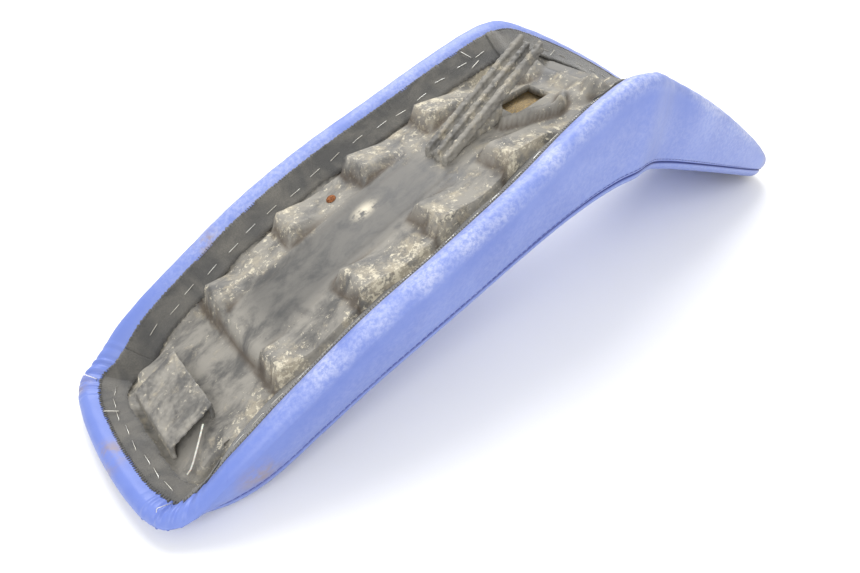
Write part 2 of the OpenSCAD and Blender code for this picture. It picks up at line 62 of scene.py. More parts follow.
# %% [markdown]
# # The camera
#
# The seat is seen from behind and above its right rear corner with a fairly wide lens, so the rear
# end looks large and the nose small. The camera is made before everything else, and it is turned
# by a degree about its own view line, as a hand-held one is.

# %% Camera
import bpy
import bmesh
import numpy as np
from mathutils import Matrix, Vector

CAMERA_AT = Vector((-0.3658, -0.3742, 0.3816))
LOOKS_AT = Vector((-0.0951, -0.0209, 0.0417))
ROLL = math.radians(-1.1)
camera_data = bpy.data.cameras.new("camera")
camera_data.sensor_width = 36
camera_data.lens = 29.3
camera_data.clip_start = 0.02
camera = bpy.data.objects.new("camera", camera_data)
bpy.context.scene.collection.objects.link(camera)
turn = (LOOKS_AT - CAMERA_AT).to_track_quat("-Z", "Y").to_matrix().to_4x4()
camera.matrix_world = Matrix.Translation(CAMERA_AT) @ turn @ Matrix.Rotation(ROLL, 4, "Z")
bpy.context.scene.camera = camera
print("camera", round((LOOKS_AT - CAMERA_AT).length, 3), "m from the middle of its view")

# %% [markdown]
# # The curves of the seat
#
# A seat is drawn by its maker as a plan outline and a few long curves: the rim that the cover is
# folded over, the riding surface, the lean of the side walls and the depth of the pan. A handful
# of points on each is enough, because a smooth curve runs through them. The same curves draw the
# outside and the inside, so the layers can't drift apart. The seat lies upside down, so the pan
# looks up and the riding surface is underneath. Everything is in millimetres from the rear end.

# %% Curves along the seat
MM = 0.001

# Half of the outline from the rear to the nose: x, half width, and the direction into the seat.
OUTLINE = np.array([
    (-13, 0, 1, 0), (-12.3, 25, 1, 0), (-10.3, 47, 1, -0.1), (-6.5, 67, 1, -0.42), (2, 82, 0.88, -0.66),
    (22, 91, 0.7, -0.88), (54, 96, 0.38, -0.94), (92, 98, 0.14, -1), (150, 100, 0, -1),
    (210, 101, 0, -1), (275, 98, 0, -1), (340, 92, 0, -1), (388, 89.5, 0, -1), (412, 89.5, 0, -1),
    (432, 84, -0.1, -1), (456, 77, 0, -1), (500, 76, 0, -1), (560, 73.5, -0.06, -1),
    (620, 70, -0.2, -0.97), (658, 66, -0.5, -0.88), (682, 56, -0.88, -0.62), (693, 37, -1, -0.25),
    (697.5, 17, -1, 0), (698, 0, -1, 0)], float)
REAR_CORNER, NOSE_CORNER, NOSE_TIP = 4, 20, len(OUTLINE) - 1

# Heights above the bench along the middle: (x, z).
RIM = [(0, 21), (14, 27), (40, 46), (92, 76), (150, 107), (210, 132), (275, 156), (330, 178),
       (372, 192), (397, 196), (420, 192), (456, 175), (530, 134), (620, 76), (660, 47), (690, 26)]
RIDE = [(-13, 8), (0, 4), (12, 2), (28, 0.6), (48, 0), (75, 6), (110, 20), (172, 44), (243, 67), (321, 89),
        (375, 99), (425, 100), (470, 88), (521, 69), (600, 37), (652, 15), (677, 4), (690, 0)]
WALL_IN = [(0, 11), (60, 9), (150, 12), (270, 12), (350, 8), (430, 6), (520, 3.5), (690, 3)]
DEPTH = [(0, 24), (30, 24), (90, 28), (330, 26), (400, 31), (450, 27), (560, 20), (640, 14), (690, 9)]

# %% Smooth curves
def curve(table, x):
    """A smooth curve through the points of a table, read at every x."""
    t = np.array(table, float)
    x = np.asarray(x, float)
    step = np.arange(len(t))
    ahead, behind = t[np.minimum(step + 1, len(t) - 1)], t[np.maximum(step - 1, 0)]
    slope = (ahead[:, 1] - behind[:, 1]) / (ahead[:, 0] - behind[:, 0])
    i = np.clip(np.searchsorted(t[:, 0], x) - 1, 0, len(t) - 2)
    h = t[i + 1, 0] - t[i, 0]
    s = np.clip((x - t[i, 0]) / h, 0, 1)
    q = s * s
    return ((2 * q * s - 3 * q + 1) * t[i, 1] + (3 * q - 2 * q * s) * t[i + 1, 1]
            + h * ((q * s - 2 * q + s) * slope[i] + (q * s - q) * slope[i + 1]))


def mix(a, b, t):
    return a + (b - a) * t


def ease(a, b, v):
    """0 before a, 1 after b, and a smooth rise between them."""
    t = np.clip((np.asarray(v, float) - a) / (b - a), 0, 1)
    return t * t * (3 - 2 * t)


def bump(v, middle, half):
    """1 at the middle, falling smoothly to 0 at half away on both sides."""
    return 1 - ease(0, half, abs(np.asarray(v, float) - middle))

# %% Places on the outline
def drawn(i):
    """An outline point by number. Past either end it is the other half's point."""
    over = np.where(i < 0, -i, np.where(i > NOSE_TIP, 2 * NOSE_TIP - i, i))
    p = OUTLINE[over].copy()
    p[..., 1::2] *= np.where((i < 0) | (i > NOSE_TIP), -1, 1)[..., None]
    return p


def placed(s, side):
    """The outline at point number s, on the left (side 1) or the right (side -1)."""
    s = np.asarray(s, float)
    i = np.minimum(NOSE_TIP - 1, np.floor(s)).astype(int)
    f = (s - i)[..., None]
    a, b, c, d = drawn(i - 1), drawn(i), drawn(i + 1), drawn(i + 2)
    p = 0.5 * (2 * b + f * (c - a) + f * f * (2 * a - 5 * b + 4 * c - d) + f ** 3 * (3 * b - a - 3 * c + d))
    p[..., 1::2] *= np.asarray(side, float)[..., None] if np.ndim(side) else side
    return p


def outline_at(x):
    """The outline's point number where a side passes a distance from the rear end."""
    s = np.linspace(REAR_CORNER, NOSE_CORNER, 4000)
    return np.interp(x, placed(s, 1)[:, 0], s)


print("rim's peak", round(float(curve(RIM, 397)), 1), "mm; widest half", OUTLINE[:, 1].max(), "mm")

# %% [markdown]
# # The section of the seat
#
# Every cross-section is built the same way: down the felt-covered flange, over the rounded rim,
# down the side wall, round the lower corner and across the crowned riding surface. Each part is a
# function of a station on the outline and a depth below the vinyl's outer face, so foam, pan and
# cover are one section at different depths.

# %% Sections
RIM_R, CORNER_R, CROWN_H, HALF_W = 9, 9, 8, 101
END_TILT, SIDE_TILT, RIGHT_TILT = 16, 38, 9
WRAP_L, FELT_W, FELT_T, VINYL_T, PAN_T, GAP = 4, 24, 1.4, 1.2, 3, 0.2
PAN_D = VINYL_T + GAP
FOAM_D = PAN_D + PAN_T + GAP

# %% Leans and depths
def inward(b, d):
    """Points d millimetres inside the outline, as x and y."""
    return b[..., :2] + np.asarray(d, float)[..., None] * b[..., 2:]


def at(b, d, z):
    """Points d millimetres inside the outline, at height z."""
    p = inward(b, d)
    return np.concatenate([p, np.broadcast_to(np.asarray(z, float), p.shape[:-1])[..., None]], -1)


def sideness(b):
    return abs(b[..., 3]) / (abs(b[..., 2]) + abs(b[..., 3]))


def tilt(b):
    """How steeply the flange falls: a little more along the right side, where it has been pushed in."""
    pushed = RIGHT_TILT * ease(-45, -85, b[..., 1]) * ease(50, 110, b[..., 0]) * ease(470, 400, b[..., 0])
    return np.radians(mix(END_TILT, SIDE_TILT, sideness(b)) + pushed)


def flange_l(b):
    return WRAP_L + FELT_W * mix(0.75, 1.05, sideness(b))


def ride_z(x, y, depth=0):
    return curve(RIDE, x) + CROWN_H * abs(np.asarray(y) / HALF_W) ** 3 + depth


def ride_below(b):
    p = inward(b, wall_in(b) + CORNER_R)
    return ride_z(p[..., 0], p[..., 1])


def wall_in(b):
    return curve(WALL_IN, b[..., 0])


def thin(b):
    return 0.42 * (curve(RIM, b[..., 0]) - ride_below(b))


def rim_rad(b):
    return np.minimum(RIM_R, thin(b))


def corner_rad(b):
    return np.minimum(CORNER_R, thin(b))

# %% Faces of the section
def rim_c(b):
    return curve(RIM, b[..., 0]) - rim_rad(b)


def corner_c(b):
    return ride_below(b) + corner_rad(b)


def rim_pt(b, depth, angle):
    r = rim_rad(b) - depth
    return at(b, rim_rad(b) - r * np.cos(angle), rim_c(b) + r * np.sin(angle))


def flange_pt(b, depth, along):
    down = np.stack([b[..., 2] * np.cos(tilt(b)), b[..., 3] * np.cos(tilt(b)), -np.sin(tilt(b))], -1)
    return rim_pt(b, depth, np.pi / 2 + tilt(b)) + np.asarray(along, float)[..., None] * down


def wall_pt(b, depth, share):
    return at(b, depth + wall_in(b) * share - 1.5 * np.sin(np.pi * share), mix(rim_c(b), corner_c(b), share))


def corner_pt(b, depth, angle):
    r = corner_rad(b) - depth
    return at(b, wall_in(b) + corner_rad(b) - r * np.cos(angle), corner_c(b) - r * np.sin(angle))


def ride_edge(b):
    return inward(b, wall_in(b) + corner_rad(b) + CORNER_R)


print("flange", round(float(flange_l(placed(outline_at(200), 1))), 1), "mm long at the side")

# %% [markdown]
# # From points to meshes
#
# Each layer is a skin of rows that run round the seat, closed across the middle by a grid. The
# grid is a Coons patch: it blends the four sides of its border, so its lines flow with the plan
# of the seat. Two skins joined along their borders make a wall with a real thickness.

# %% Mesh helpers
SIDE_STEPS = 300  # along a side
END_STEPS = 84    # across an end
SIDE_S = np.linspace(REAR_CORNER, NOSE_CORNER, SIDE_STEPS + 1)
ACROSS = np.linspace(-1, 1, END_STEPS + 1)


def ring_stations():
    """Stations once round: across the rear, along the left, across the nose, along the right."""
    rear = placed(abs(ACROSS[:-1]) * REAR_CORNER, np.sign(ACROSS[:-1]))
    nose = placed(mix(NOSE_TIP, NOSE_CORNER, abs(ACROSS[:-1])), -np.sign(ACROSS[:-1]))
    return np.concatenate([rear, placed(SIDE_S[:-1], 1), nose, placed(SIDE_S[::-1][:-1], -1)])


ROUND = ring_stations()
RING_N = len(ROUND)

# %% The grid across the middle
def coons(border):
    """The grid that fills a ring of [x, y], one row per station along the sides."""
    e, s, n = END_STEPS, SIDE_STEPS, RING_N
    u = np.linspace(0, 1, s + 1)[:, None, None]
    v = np.linspace(0, 1, e + 1)[None, :, None]
    rear, nose = border[:e + 1][None], border[e + s:2 * e + s + 1][::-1][None]
    right = border[(n - np.arange(s + 1)) % n][:, None]
    left = border[e:e + s + 1][:, None]
    return ((1 - u) * rear + u * nose + (1 - v) * right + v * left - (1 - u) * (1 - v) * rear[:, :1]
            - (1 - u) * v * rear[:, -1:] - u * v * nose[:, -1:] - u * (1 - v) * nose[:, :1])


def grid_numbers(ring0, inner0):
    """Vertex numbers of the grid: its border is a ring, and its inside starts at inner0."""
    e, s, n = END_STEPS, SIDE_STEPS, RING_N
    k = np.zeros((s + 1, e + 1), int)
    k[1:-1, 1:-1] = inner0 + np.arange((s - 1) * (e - 1)).reshape(s - 1, e - 1)
    k[0, :] = ring0 + np.arange(e + 1)
    k[:, -1] = ring0 + e + np.arange(s + 1)
    k[-1, :] = ring0 + 2 * e + s - np.arange(e + 1)
    k[:, 0] = ring0 + (n - np.arange(s + 1)) % n
    return k


def quads_of(k):
    """Faces of a grid of vertex numbers."""
    return np.stack([k[:-1, :-1], k[1:, :-1], k[1:, 1:], k[:-1, 1:]], -1)

# %% Skins and walls
def skin(rings, inside, hole=None):
    """A skin from its outermost ring to the grid across its middle, with an optional hole."""
    n = RING_N
    rows = np.arange(len(rings) * n).reshape(len(rings), n)
    rows = np.concatenate([rows, rows[:, :1]], 1)
    points = np.concatenate([*rings, inside[1:-1, 1:-1].reshape(-1, 3)])
    k = grid_numbers((len(rings) - 1) * n, len(rings) * n)
    cap = quads_of(k)
    keep = np.ones(cap.shape[:2], bool)
    if hole:
        keep[hole[0]:hole[1], hole[2]:hole[3]] = False
    faces = np.concatenate([quads_of(rows)[..., ::-1].reshape(-1, 4), cap[keep]])
    return points, faces, rows[0], k


def rim_of_hole(k, hole):
    """The vertex numbers round a hole, in order."""
    i0, i1, j0, j1 = hole
    return np.concatenate([k[i0:i1, j0], k[i1, j0:j1], k[i1:i0:-1, j1], k[i0, j1:j0:-1]])


def two_skins(outer, inner, hole=None):
    """Closes two skins into a wall."""
    points = np.concatenate([outer[0], inner[0]])
    m = len(outer[0])
    faces = [outer[1], inner[1][:, ::-1] + m,
             quads_of(np.stack([outer[2], inner[2] + m]))[0]]
    if hole:
        a, b = rim_of_hole(outer[3], hole), rim_of_hole(inner[3], hole) + m
        faces.append(quads_of(np.stack([np.append(a, a[0]), np.append(b, b[0])]))[0])
    return points, np.concatenate(faces)


def sheet_between(outer, inner):
    """A thin solid between two grids of points."""
    rows, cols = outer.shape[:2]
    k = np.arange(rows * cols).reshape(rows, cols)
    m = rows * cols
    sides = [k[0], k[:, -1], k[-1][::-1], k[:, 0][::-1]]
    faces = [quads_of(k).reshape(-1, 4), quads_of(k).reshape(-1, 4)[:, ::-1] + m]
    faces += [quads_of(np.stack([s, s + m]))[0] for s in sides]
    return np.concatenate([outer.reshape(-1, 3), inner.reshape(-1, 3)]), np.concatenate(faces)

# %% From numbers to pieces
def make_piece(name, points, faces, material, smooth=True):
    """A piece from millimetres in the seat's own x, with its faces pointing outwards."""
    points = np.array(points, float) * MM
    points[:, 0] += cad_low[0]
    mesh = bpy.data.meshes.new(name)
    mesh.from_pydata(points.tolist(), [], [list(map(int, f)) for f in faces])
    work = bmesh.new()
    work.from_mesh(mesh)
    bmesh.ops.recalc_face_normals(work, faces=work.faces)
    work.to_mesh(mesh)
    work.free()
    mesh.materials.append(material)
    mesh.polygons.foreach_set("use_smooth", [smooth] * len(mesh.polygons))
    piece = bpy.data.objects.new(name, mesh)
    bpy.context.scene.collection.objects.link(piece)
    return piece


def stands_for(piece, slot, *nodes):
    """The piece rides on the seat and takes the place of these CAD nodes."""
    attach(piece, BODY)
    if nodes:
        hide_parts(*nodes)
    print(piece.name, len(piece.data.vertices), "points")
    return piece

# %% Random fields
RNG = np.random.default_rng(7)


def ripple_field(count, shortest, longest):
    """A soft random field: sine ripples in random directions, fixed by the seed."""
    way = RNG.normal(size=(count, 3))
    way /= np.linalg.norm(way, axis=1, keepdims=True)
    wave = RNG.uniform(shortest, longest, count)
    phase = RNG.uniform(0, 2 * np.pi, count)

    def field(p):
        total = sum(np.sin(p @ (w * 2 * np.pi / length) + f) for w, length, f in zip(way, wave, phase))
        return total / math.sqrt(count)
    return field


print(RING_N, "stations round the seat")

# %% [markdown]
# # Shared effects
#
# Old vinyl, felt and plastic all carry the same things: a fine grain, patches of dust, and wear.
# Each effect is a node group built once, with its sizes as inputs, and placed in every material
# with its own values. A group gives out only masks and heights, and the shader stays in the
# material.

# %% Node helpers
def socket_in(group, name, value):
    s = group.interface.new_socket(name=name, in_out="INPUT", socket_type="NodeSocketFloat")
    s.default_value = value


def socket_out(group, name):
    group.interface.new_socket(name=name, in_out="OUTPUT", socket_type="NodeSocketFloat")

# %% Short calls for nodes
class Nodes:
    """Short calls for adding nodes to a tree and joining them."""

    def __init__(self, tree):
        self.tree = tree

    def add(self, kind, **values):
        node = self.tree.nodes.new(kind)
        for name, value in values.items():
            setattr(node, name, value)
        return node

    def link(self, a, b):
        self.tree.links.new(a, b)

    def coords(self):
        return self.add("ShaderNodeTexCoord").outputs["Object"]

    def math(self, operation, a, b=0.0, clamp=False):
        node = self.add("ShaderNodeMath", operation=operation, use_clamp=clamp)
        for socket, value in zip(node.inputs, (a, b)):
            self.feed(socket, value)
        return node.outputs[0]

    def feed(self, socket, value):
        if isinstance(value, (int, float, tuple, list)):
            socket.default_value = value
        else:
            self.link(value, socket)

    def noise(self, vector, scale, detail=4.0, roughness=0.55, distortion=0.0):
        node = self.add("ShaderNodeTexNoise")
        self.link(vector, node.inputs["Vector"])
        for name, value in (("Scale", scale), ("Detail", detail), ("Roughness", roughness),
                            ("Distortion", distortion)):
            self.feed(node.inputs[name], value)
        return node.outputs["Fac"]

    def between(self, value, low, high, to_low=0.0, to_high=1.0):
        node = self.add("ShaderNodeMapRange", interpolation_type="SMOOTHSTEP")
        for name, v in (("Value", value), ("From Min", low), ("From Max", high),
                        ("To Min", to_low), ("To Max", to_high)):
            self.feed(node.inputs[name], v)
        return node.outputs[0]

    def blend(self, factor, a, b):
        """A colour between a and b."""
        node = self.add("ShaderNodeMix", data_type="RGBA")
        self.feed(node.inputs["Factor"], factor)
        self.feed(node.inputs[6], (*a, 1) if isinstance(a, tuple) and len(a) == 3 else a)
        self.feed(node.inputs[7], (*b, 1) if isinstance(b, tuple) and len(b) == 3 else b)
        return node.outputs[2]

    def group(self, group, vector, **values):
        node = self.add("ShaderNodeGroup", node_tree=group)
        self.link(vector, node.inputs["Vector"])
        for name, value in values.items():
            self.feed(node.inputs[name.replace("_", " ")], value)
        return node.outputs

    def attribute(self, name):
        return self.add("ShaderNodeAttribute", attribute_name=name).outputs["Fac"]

    def bump(self, height, strength, distance):
        node = self.add("ShaderNodeBump")
        node.inputs["Strength"].default_value = strength
        node.inputs["Distance"].default_value = distance
        self.link(height, node.inputs["Height"])
        return node.outputs["Normal"]

# %% Groups
def new_group(name, inputs, outputs):
    group = bpy.data.node_groups.new(name, "ShaderNodeTree")
    group.interface.new_socket(name="Vector", in_out="INPUT", socket_type="NodeSocketVector")
    for key, value in inputs.items():
        socket_in(group, key, value)
    for key in outputs:
        socket_out(group, key)
    nodes = Nodes(group)
    return group, nodes, nodes.add("NodeGroupInput").outputs, nodes.add("NodeGroupOutput").inputs


print("node helpers ready")

# %% Dust, grain and spots
DUST, n, given, out = new_group("dust", {"Patch Scale": 14.0, "Cover": 0.5, "Speck Scale": 260.0}, ["Mask"])
patches = n.noise(given["Vector"], given["Patch Scale"], 6, 0.62, 0.6)
specks = n.noise(given["Vector"], given["Speck Scale"], 3, 0.6)
low = n.math("SUBTRACT", 0.78, given["Cover"])
soft = n.between(patches, n.math("SUBTRACT", low, 0.16), n.math("ADD", low, 0.16))
n.link(n.math("MULTIPLY", soft, n.between(specks, 0.3, 0.62, 0.55, 1.0), True), out["Mask"])

GRAIN, n, given, out = new_group("grain", {"Scale": 900.0, "Folds Scale": 60.0}, ["Height"])
pores = n.add("ShaderNodeTexVoronoi", feature="SMOOTH_F1")
n.link(given["Vector"], pores.inputs["Vector"])
n.link(given["Scale"], pores.inputs["Scale"])
folds = n.noise(given["Vector"], given["Folds Scale"], 4, 0.5)
n.link(n.math("ADD", n.math("MULTIPLY", pores.outputs["Distance"], 0.5), n.math("MULTIPLY", folds, 0.8)),
       out["Height"])

SPOTS, n, given, out = new_group("spots", {"Scale": 40.0, "Share": 0.3, "Size": 0.2}, ["Mask"])
cells = n.add("ShaderNodeTexVoronoi", feature="F1")
n.link(given["Vector"], cells.inputs["Vector"])
n.link(given["Scale"], cells.inputs["Scale"])
picked = n.math("LESS_THAN", n.noise(cells.outputs["Position"], 31.0, 1, 0.5), given["Share"])
wobble = n.math("MULTIPLY", n.noise(given["Vector"], 320.0, 3, 0.6), 0.16)
near = n.math("ADD", cells.outputs["Distance"], wobble)
n.link(n.math("MULTIPLY", picked, n.between(near, given["Size"], n.math("MULTIPLY", given["Size"], 0.6))),
       out["Mask"])
print("groups:", [g.name for g in bpy.data.node_groups if g.bl_idname == "ShaderNodeTree"])


def new_material(name, roughness, **sockets):
    """A material with its shader's even values set on the shader's own sockets."""
    material = bpy.data.materials.new(name)
    material.use_nodes = True
    shader = material.node_tree.nodes["Principled BSDF"]
    shader.inputs["Roughness"].default_value = roughness
    for key, value in sockets.items():
        shader.inputs[key.replace("_", " ")].default_value = value
    return material, Nodes(material.node_tree), shader.inputs

# %% [markdown]
# # Vinyl
#
# Coated cloth that was once a deep even blue. It has a fine leather-like grain, it has faded in
# clouds, and it has rubbed pale along the rim, where the seat is set down and where boots touch
# it. The right side's wall is also painted paler down from the rim, a painted reflection of the
# pale bench, and the left side's rubbing is toned down. One attribute, worked out from the shape
# of each panel, says where both go. The seam is painted dark blue as painted shade. Small brown
# and dark marks are spots of dried mud and dye. Near the nose the wear turns grey and scuffed.

# %% Vinyl material
VINYL_BLUE = (0.12, 0.18, 0.51)
VINYL_FADED = (0.165, 0.23, 0.57)
# Pale blue of rubbed vinyl, also used for the painted reflection on the right side's wall.
VINYL_WEAR_AND_REFLECTION = (0.58, 0.61, 0.76)
MUD_BROWN = (0.30, 0.22, 0.15)
SCUFF_GREY = (0.36, 0.34, 0.36)

vinyl, n, shader = new_material("vinyl", 0.42, Specular_IOR_Level=0.45, Coat_Roughness=0.4)
where = n.coords()
clouds = n.noise(where, 11.0, 5, 0.6, 0.4)
colour = n.blend(n.between(clouds, 0.3, 0.75), VINYL_BLUE, VINYL_FADED)
# Pale wear along the rims, plus a painted reflection: the right side's wall is painted paler.
wear_and_reflection_mask = n.attribute("wear_and_reflection")
scratchy = n.noise(where, 300.0, 7, 0.74, 0.15)
rub_and_reflection = n.math("MULTIPLY", wear_and_reflection_mask, n.between(scratchy, 0.36, 0.66, 0.25, 1.0), True)
colour = n.blend(rub_and_reflection, colour, VINYL_WEAR_AND_REFLECTION)
scuff = n.math("MULTIPLY", n.attribute("scuff"), n.between(n.noise(where, 70.0, 8, 0.72, 1.5), 0.34, 0.60), True)
colour = n.blend(scuff, colour, SCUFF_GREY)
flecks = n.math("MULTIPLY", n.attribute("scuff"), n.group(SPOTS, where, Scale=170.0, Share=0.5, Size=0.26)["Mask"])
colour = n.blend(flecks, colour, (0.8, 0.8, 0.8))
marks = n.group(SPOTS, where, Scale=26.0, Share=0.42, Size=0.085)["Mask"]
colour = n.blend(n.math("MULTIPLY", marks, 0.5), colour, MUD_BROWN)
stain = n.attribute("stain")
colour = n.blend(n.math("MULTIPLY", stain, n.between(n.noise(where, 55.0, 5, 0.65), 0.38, 0.62), True),
                 colour, MUD_BROWN)
# The seam allowance turned into the seam is painted dark blue: painted shade in the seam groove.
seam_shade = n.attribute("seam_shade")
colour = n.blend(seam_shade, colour, (0.03, 0.045, 0.22))
n.link(colour, shader["Base Color"])
n.link(n.math("ADD", 0.40, n.math("MULTIPLY", n.math("MAXIMUM", rub_and_reflection, scuff), 0.28)), shader["Roughness"])
n.link(n.bump(n.group(GRAIN, where, Scale=1100.0, Folds_Scale=90.0)["Height"], 0.10, 0.0006), shader["Normal"])
print("vinyl:", len(vinyl.node_tree.nodes), "nodes")

# %% [markdown]
# # Felt
#
# The edging is black needled felt: no threads, only matted fibres, so it is rough and soft-looking
# with a little sheen. Mine dust has settled in it, more in some places than others.

# %% Felt material
felt, n, shader = new_material("felt", 0.95, Sheen_Weight=0.35, Sheen_Roughness=0.6, Specular_IOR_Level=0.15)
where = n.coords()
fibre_space = n.add("ShaderNodeMapping")
n.link(where, fibre_space.inputs["Vector"])
fibre_space.inputs["Scale"].default_value = (1.0, 1.6, 0.7)
fibres = n.noise(fibre_space.outputs[0], 1500.0, 8, 0.75, 3.0)
colour = n.blend(n.between(fibres, 0.35, 0.7), (0.035, 0.035, 0.034), (0.105, 0.102, 0.097))
dusty = n.group(DUST, where, Patch_Scale=32.0, Cover=0.26, Speck_Scale=900.0)["Mask"]
colour = n.blend(n.math("MULTIPLY", dusty, 0.4), colour, (0.26, 0.24, 0.2))
marks = n.group(SPOTS, where, Scale=230.0, Share=0.42, Size=0.16)["Mask"]
colour = n.blend(n.math("MULTIPLY", marks, 0.45), colour, (0.36, 0.33, 0.27))
n.link(colour, shader["Base Color"])
n.link(n.bump(fibres, 0.5, 0.0008), shader["Normal"])
print("felt:", len(felt.node_tree.nodes), "nodes")

# %% [markdown]
# # The dusty pan
#
# The pan is black moulded plastic, but little of it is still black. Dust lies over it all, dried
# mud is caked on the ledges, the corners are painted dark brown as painted shade, and a band down
# the middle has been wiped nearly clean and shines. The "mud" attribute says how much has settled,
# and "wiped" where the band is. Swirls in the clean parts are where water ran.

# %% Pan material
PAN_BLACK = (0.06, 0.06, 0.06)
DUST_GREY = (0.27, 0.255, 0.225)
MUD_TAN = (0.42, 0.37, 0.28)
MUD_CREAM = (0.60, 0.55, 0.43)
# Dark brown painted shade for the corners and the feet of the steps and blocks.
CORNER_SHADE_BROWN = (0.075, 0.055, 0.038)

pan_plastic, n, shader = new_material("pan_plastic", 0.5, Specular_IOR_Level=0.5)
where = n.coords()
run_space = n.add("ShaderNodeMapping")
n.link(where, run_space.inputs["Vector"])
run_space.inputs["Scale"].default_value = (0.62, 1.0, 0.7)
runs = n.noise(run_space.outputs[0], 52.0, 9, 0.66, 0.35)
settled = n.attribute("mud")
wiped = n.attribute("wiped")
left_on = n.math("SUBTRACT", 1.0, n.math("MULTIPLY", wiped, 0.62))
film = n.math("MULTIPLY", n.between(runs, 0.34, 0.60, 0.15, 1.0), left_on, True)
colour = n.blend(film, PAN_BLACK, DUST_GREY)
clods = n.noise(where, 82.0, 10, 0.72, 0.2)
level = n.math("ADD", clods, n.math("MULTIPLY", n.math("SUBTRACT", settled, 0.5), 0.42))
caked = n.between(level, 0.50, 0.70)
colour = n.blend(n.math("MULTIPLY", caked, 0.7), colour, MUD_TAN)
flakes = n.between(n.math("ADD", n.noise(where, 210.0, 9, 0.78, 0.3), n.math("MULTIPLY", settled, 0.26)), 0.70, 0.77)
colour = n.blend(flakes, colour, MUD_CREAM)
cream = n.attribute("cream")
colour = n.blend(n.math("MULTIPLY", cream, n.between(n.noise(where, 90.0, 8, 0.7), 0.40, 0.52), True), colour,
                 (0.66, 0.60, 0.47))
# Corners and the feet of the steps and blocks are painted dark brown: painted shade.
colour = n.blend(n.math("MULTIPLY", n.attribute("nook"), n.between(clods, 0.25, 0.55, 0.4, 0.8)), colour, CORNER_SHADE_BROWN)
pits = n.group(SPOTS, where, Scale=140.0, Share=0.45, Size=0.2)["Mask"]
colour = n.blend(n.math("MULTIPLY", pits, 0.45), colour, PAN_BLACK)
n.link(colour, shader["Base Color"])
rough = n.math("ADD", 0.40, n.math("MULTIPLY", film, 0.4))
n.link(n.math("MAXIMUM", rough, n.math("MULTIPLY", n.math("MAXIMUM", caked, flakes), 0.95)), shader["Roughness"])
height = n.math("ADD", n.math("MULTIPLY", caked, 0.8), n.math("MULTIPLY", clods, 0.5))
height = n.math("ADD", height, n.math("MULTIPLY", n.noise(where, 900.0, 4, 0.6), 0.15))
n.link(n.bump(height, 0.42, 0.0010), shader["Normal"])
print("pan plastic:", len(pan_plastic.node_tree.nodes), "nodes")

# %% [markdown]
# # Foam, wire, rust, nylon and thread
#
# The small things get the same care. Foam shows its open cells, the staples are bright wire with
# a few dull ones among them, the rivet has rusted right through its plating, and the nylon tie is
# slightly see-through and has picked up dust.

# %% Small finishes
foam, n, shader = new_material("foam", 0.95, Specular_IOR_Level=0.1)
where = n.coords()
cells = n.add("ShaderNodeTexVoronoi", feature="F1")
n.link(where, cells.inputs["Vector"])
cells.inputs["Scale"].default_value = 900.0
# Each cell's middle is painted darker brown: painted shade in the open pores.
colour = n.blend(n.between(cells.outputs["Distance"], 0.15, 0.6), (0.30, 0.17, 0.05), (0.72, 0.50, 0.20))
dusty = n.group(DUST, where, Patch_Scale=70.0, Cover=0.42, Speck_Scale=700.0)["Mask"]
colour = n.blend(dusty, colour, (0.25, 0.2, 0.13))
n.link(colour, shader["Base Color"])
n.link(n.bump(cells.outputs["Distance"], 0.8, 0.0012), shader["Normal"])

staple_wire, n, shader = new_material("staple_wire", 0.35, Metallic=1.0)
where = n.coords()
tint = n.noise(where, 45.0, 3, 0.6)
n.link(n.blend(n.between(tint, 0.35, 0.62), (0.70, 0.70, 0.67), (0.55, 0.53, 0.47)), shader["Base Color"])
n.link(n.between(tint, 0.4, 0.8, 0.28, 0.6), shader["Roughness"])

rust, n, shader = new_material("rust", 0.85, Specular_IOR_Level=0.3)
where = n.coords()
flaking = n.noise(where, 700.0, 6, 0.7, 0.6)
n.link(n.blend(n.between(flaking, 0.35, 0.65), (0.10, 0.03, 0.010), (0.34, 0.13, 0.045)), shader["Base Color"])
n.link(n.bump(flaking, 0.7, 0.0006), shader["Normal"])

nylon, n, shader = new_material("nylon", 0.4, Subsurface_Weight=0.15, Subsurface_Scale=0.002)
where = n.coords()
n.link(n.blend(n.between(n.noise(where, 300.0, 4, 0.6), 0.4, 0.7), (0.66, 0.65, 0.60), (0.50, 0.47, 0.39)),
       shader["Base Color"])

sewing_thread, n, shader = new_material("sewing_thread", 0.8, Sheen_Weight=0.3)
where = n.coords()
twist = n.noise(where, 1400.0, 3, 0.5, 0.5)
n.link(n.blend(n.between(twist, 0.35, 0.65), (0.03, 0.045, 0.22), (0.07, 0.09, 0.34)), shader["Base Color"])
black_thread, n, shader = new_material("black_thread", 0.85, Sheen_Weight=0.3)
where = n.coords()
twist = n.noise(where, 1400.0, 3, 0.5, 0.5)
n.link(n.blend(n.between(twist, 0.35, 0.65), (0.012, 0.012, 0.012), (0.10, 0.095, 0.085)), shader["Base Color"])
print(len(bpy.data.materials), "materials")

# %% [markdown]
# # The cover
#
# The cover is sewn from a riding surface and side panels, pulled over the foam and folded over
# the pan's rim. It is stretched tight, so it is drawn from the section and not draped. Three
# things make it read as real: the seam sits in a narrow groove because the foam swells on both
# sides of it, the vinyl is drawn in a little at each staple, and the spare cloth at the two rear
# corners is gathered into small pleats that fade out down the wall.

# %% Cover rows
soft_hills = ripple_field(9, 55, 170)
small_hills = ripple_field(9, 14, 40)
STAPLE_PITCH = 20.4
SEAM_SHARE = 0.965


def along_station(b):
    """Distance run round the outline, in millimetres."""
    steps = np.linalg.norm(np.diff(b[:, :2], axis=0), axis=1)
    return np.concatenate([[0], np.cumsum(steps)])


def corner_pleats(b):
    """How gathered the cloth is: most just before and after a rear corner."""
    x, y = b[:, 0], abs(b[:, 1])
    return bump(np.hypot(x - 2, y - 80), 0, 36)

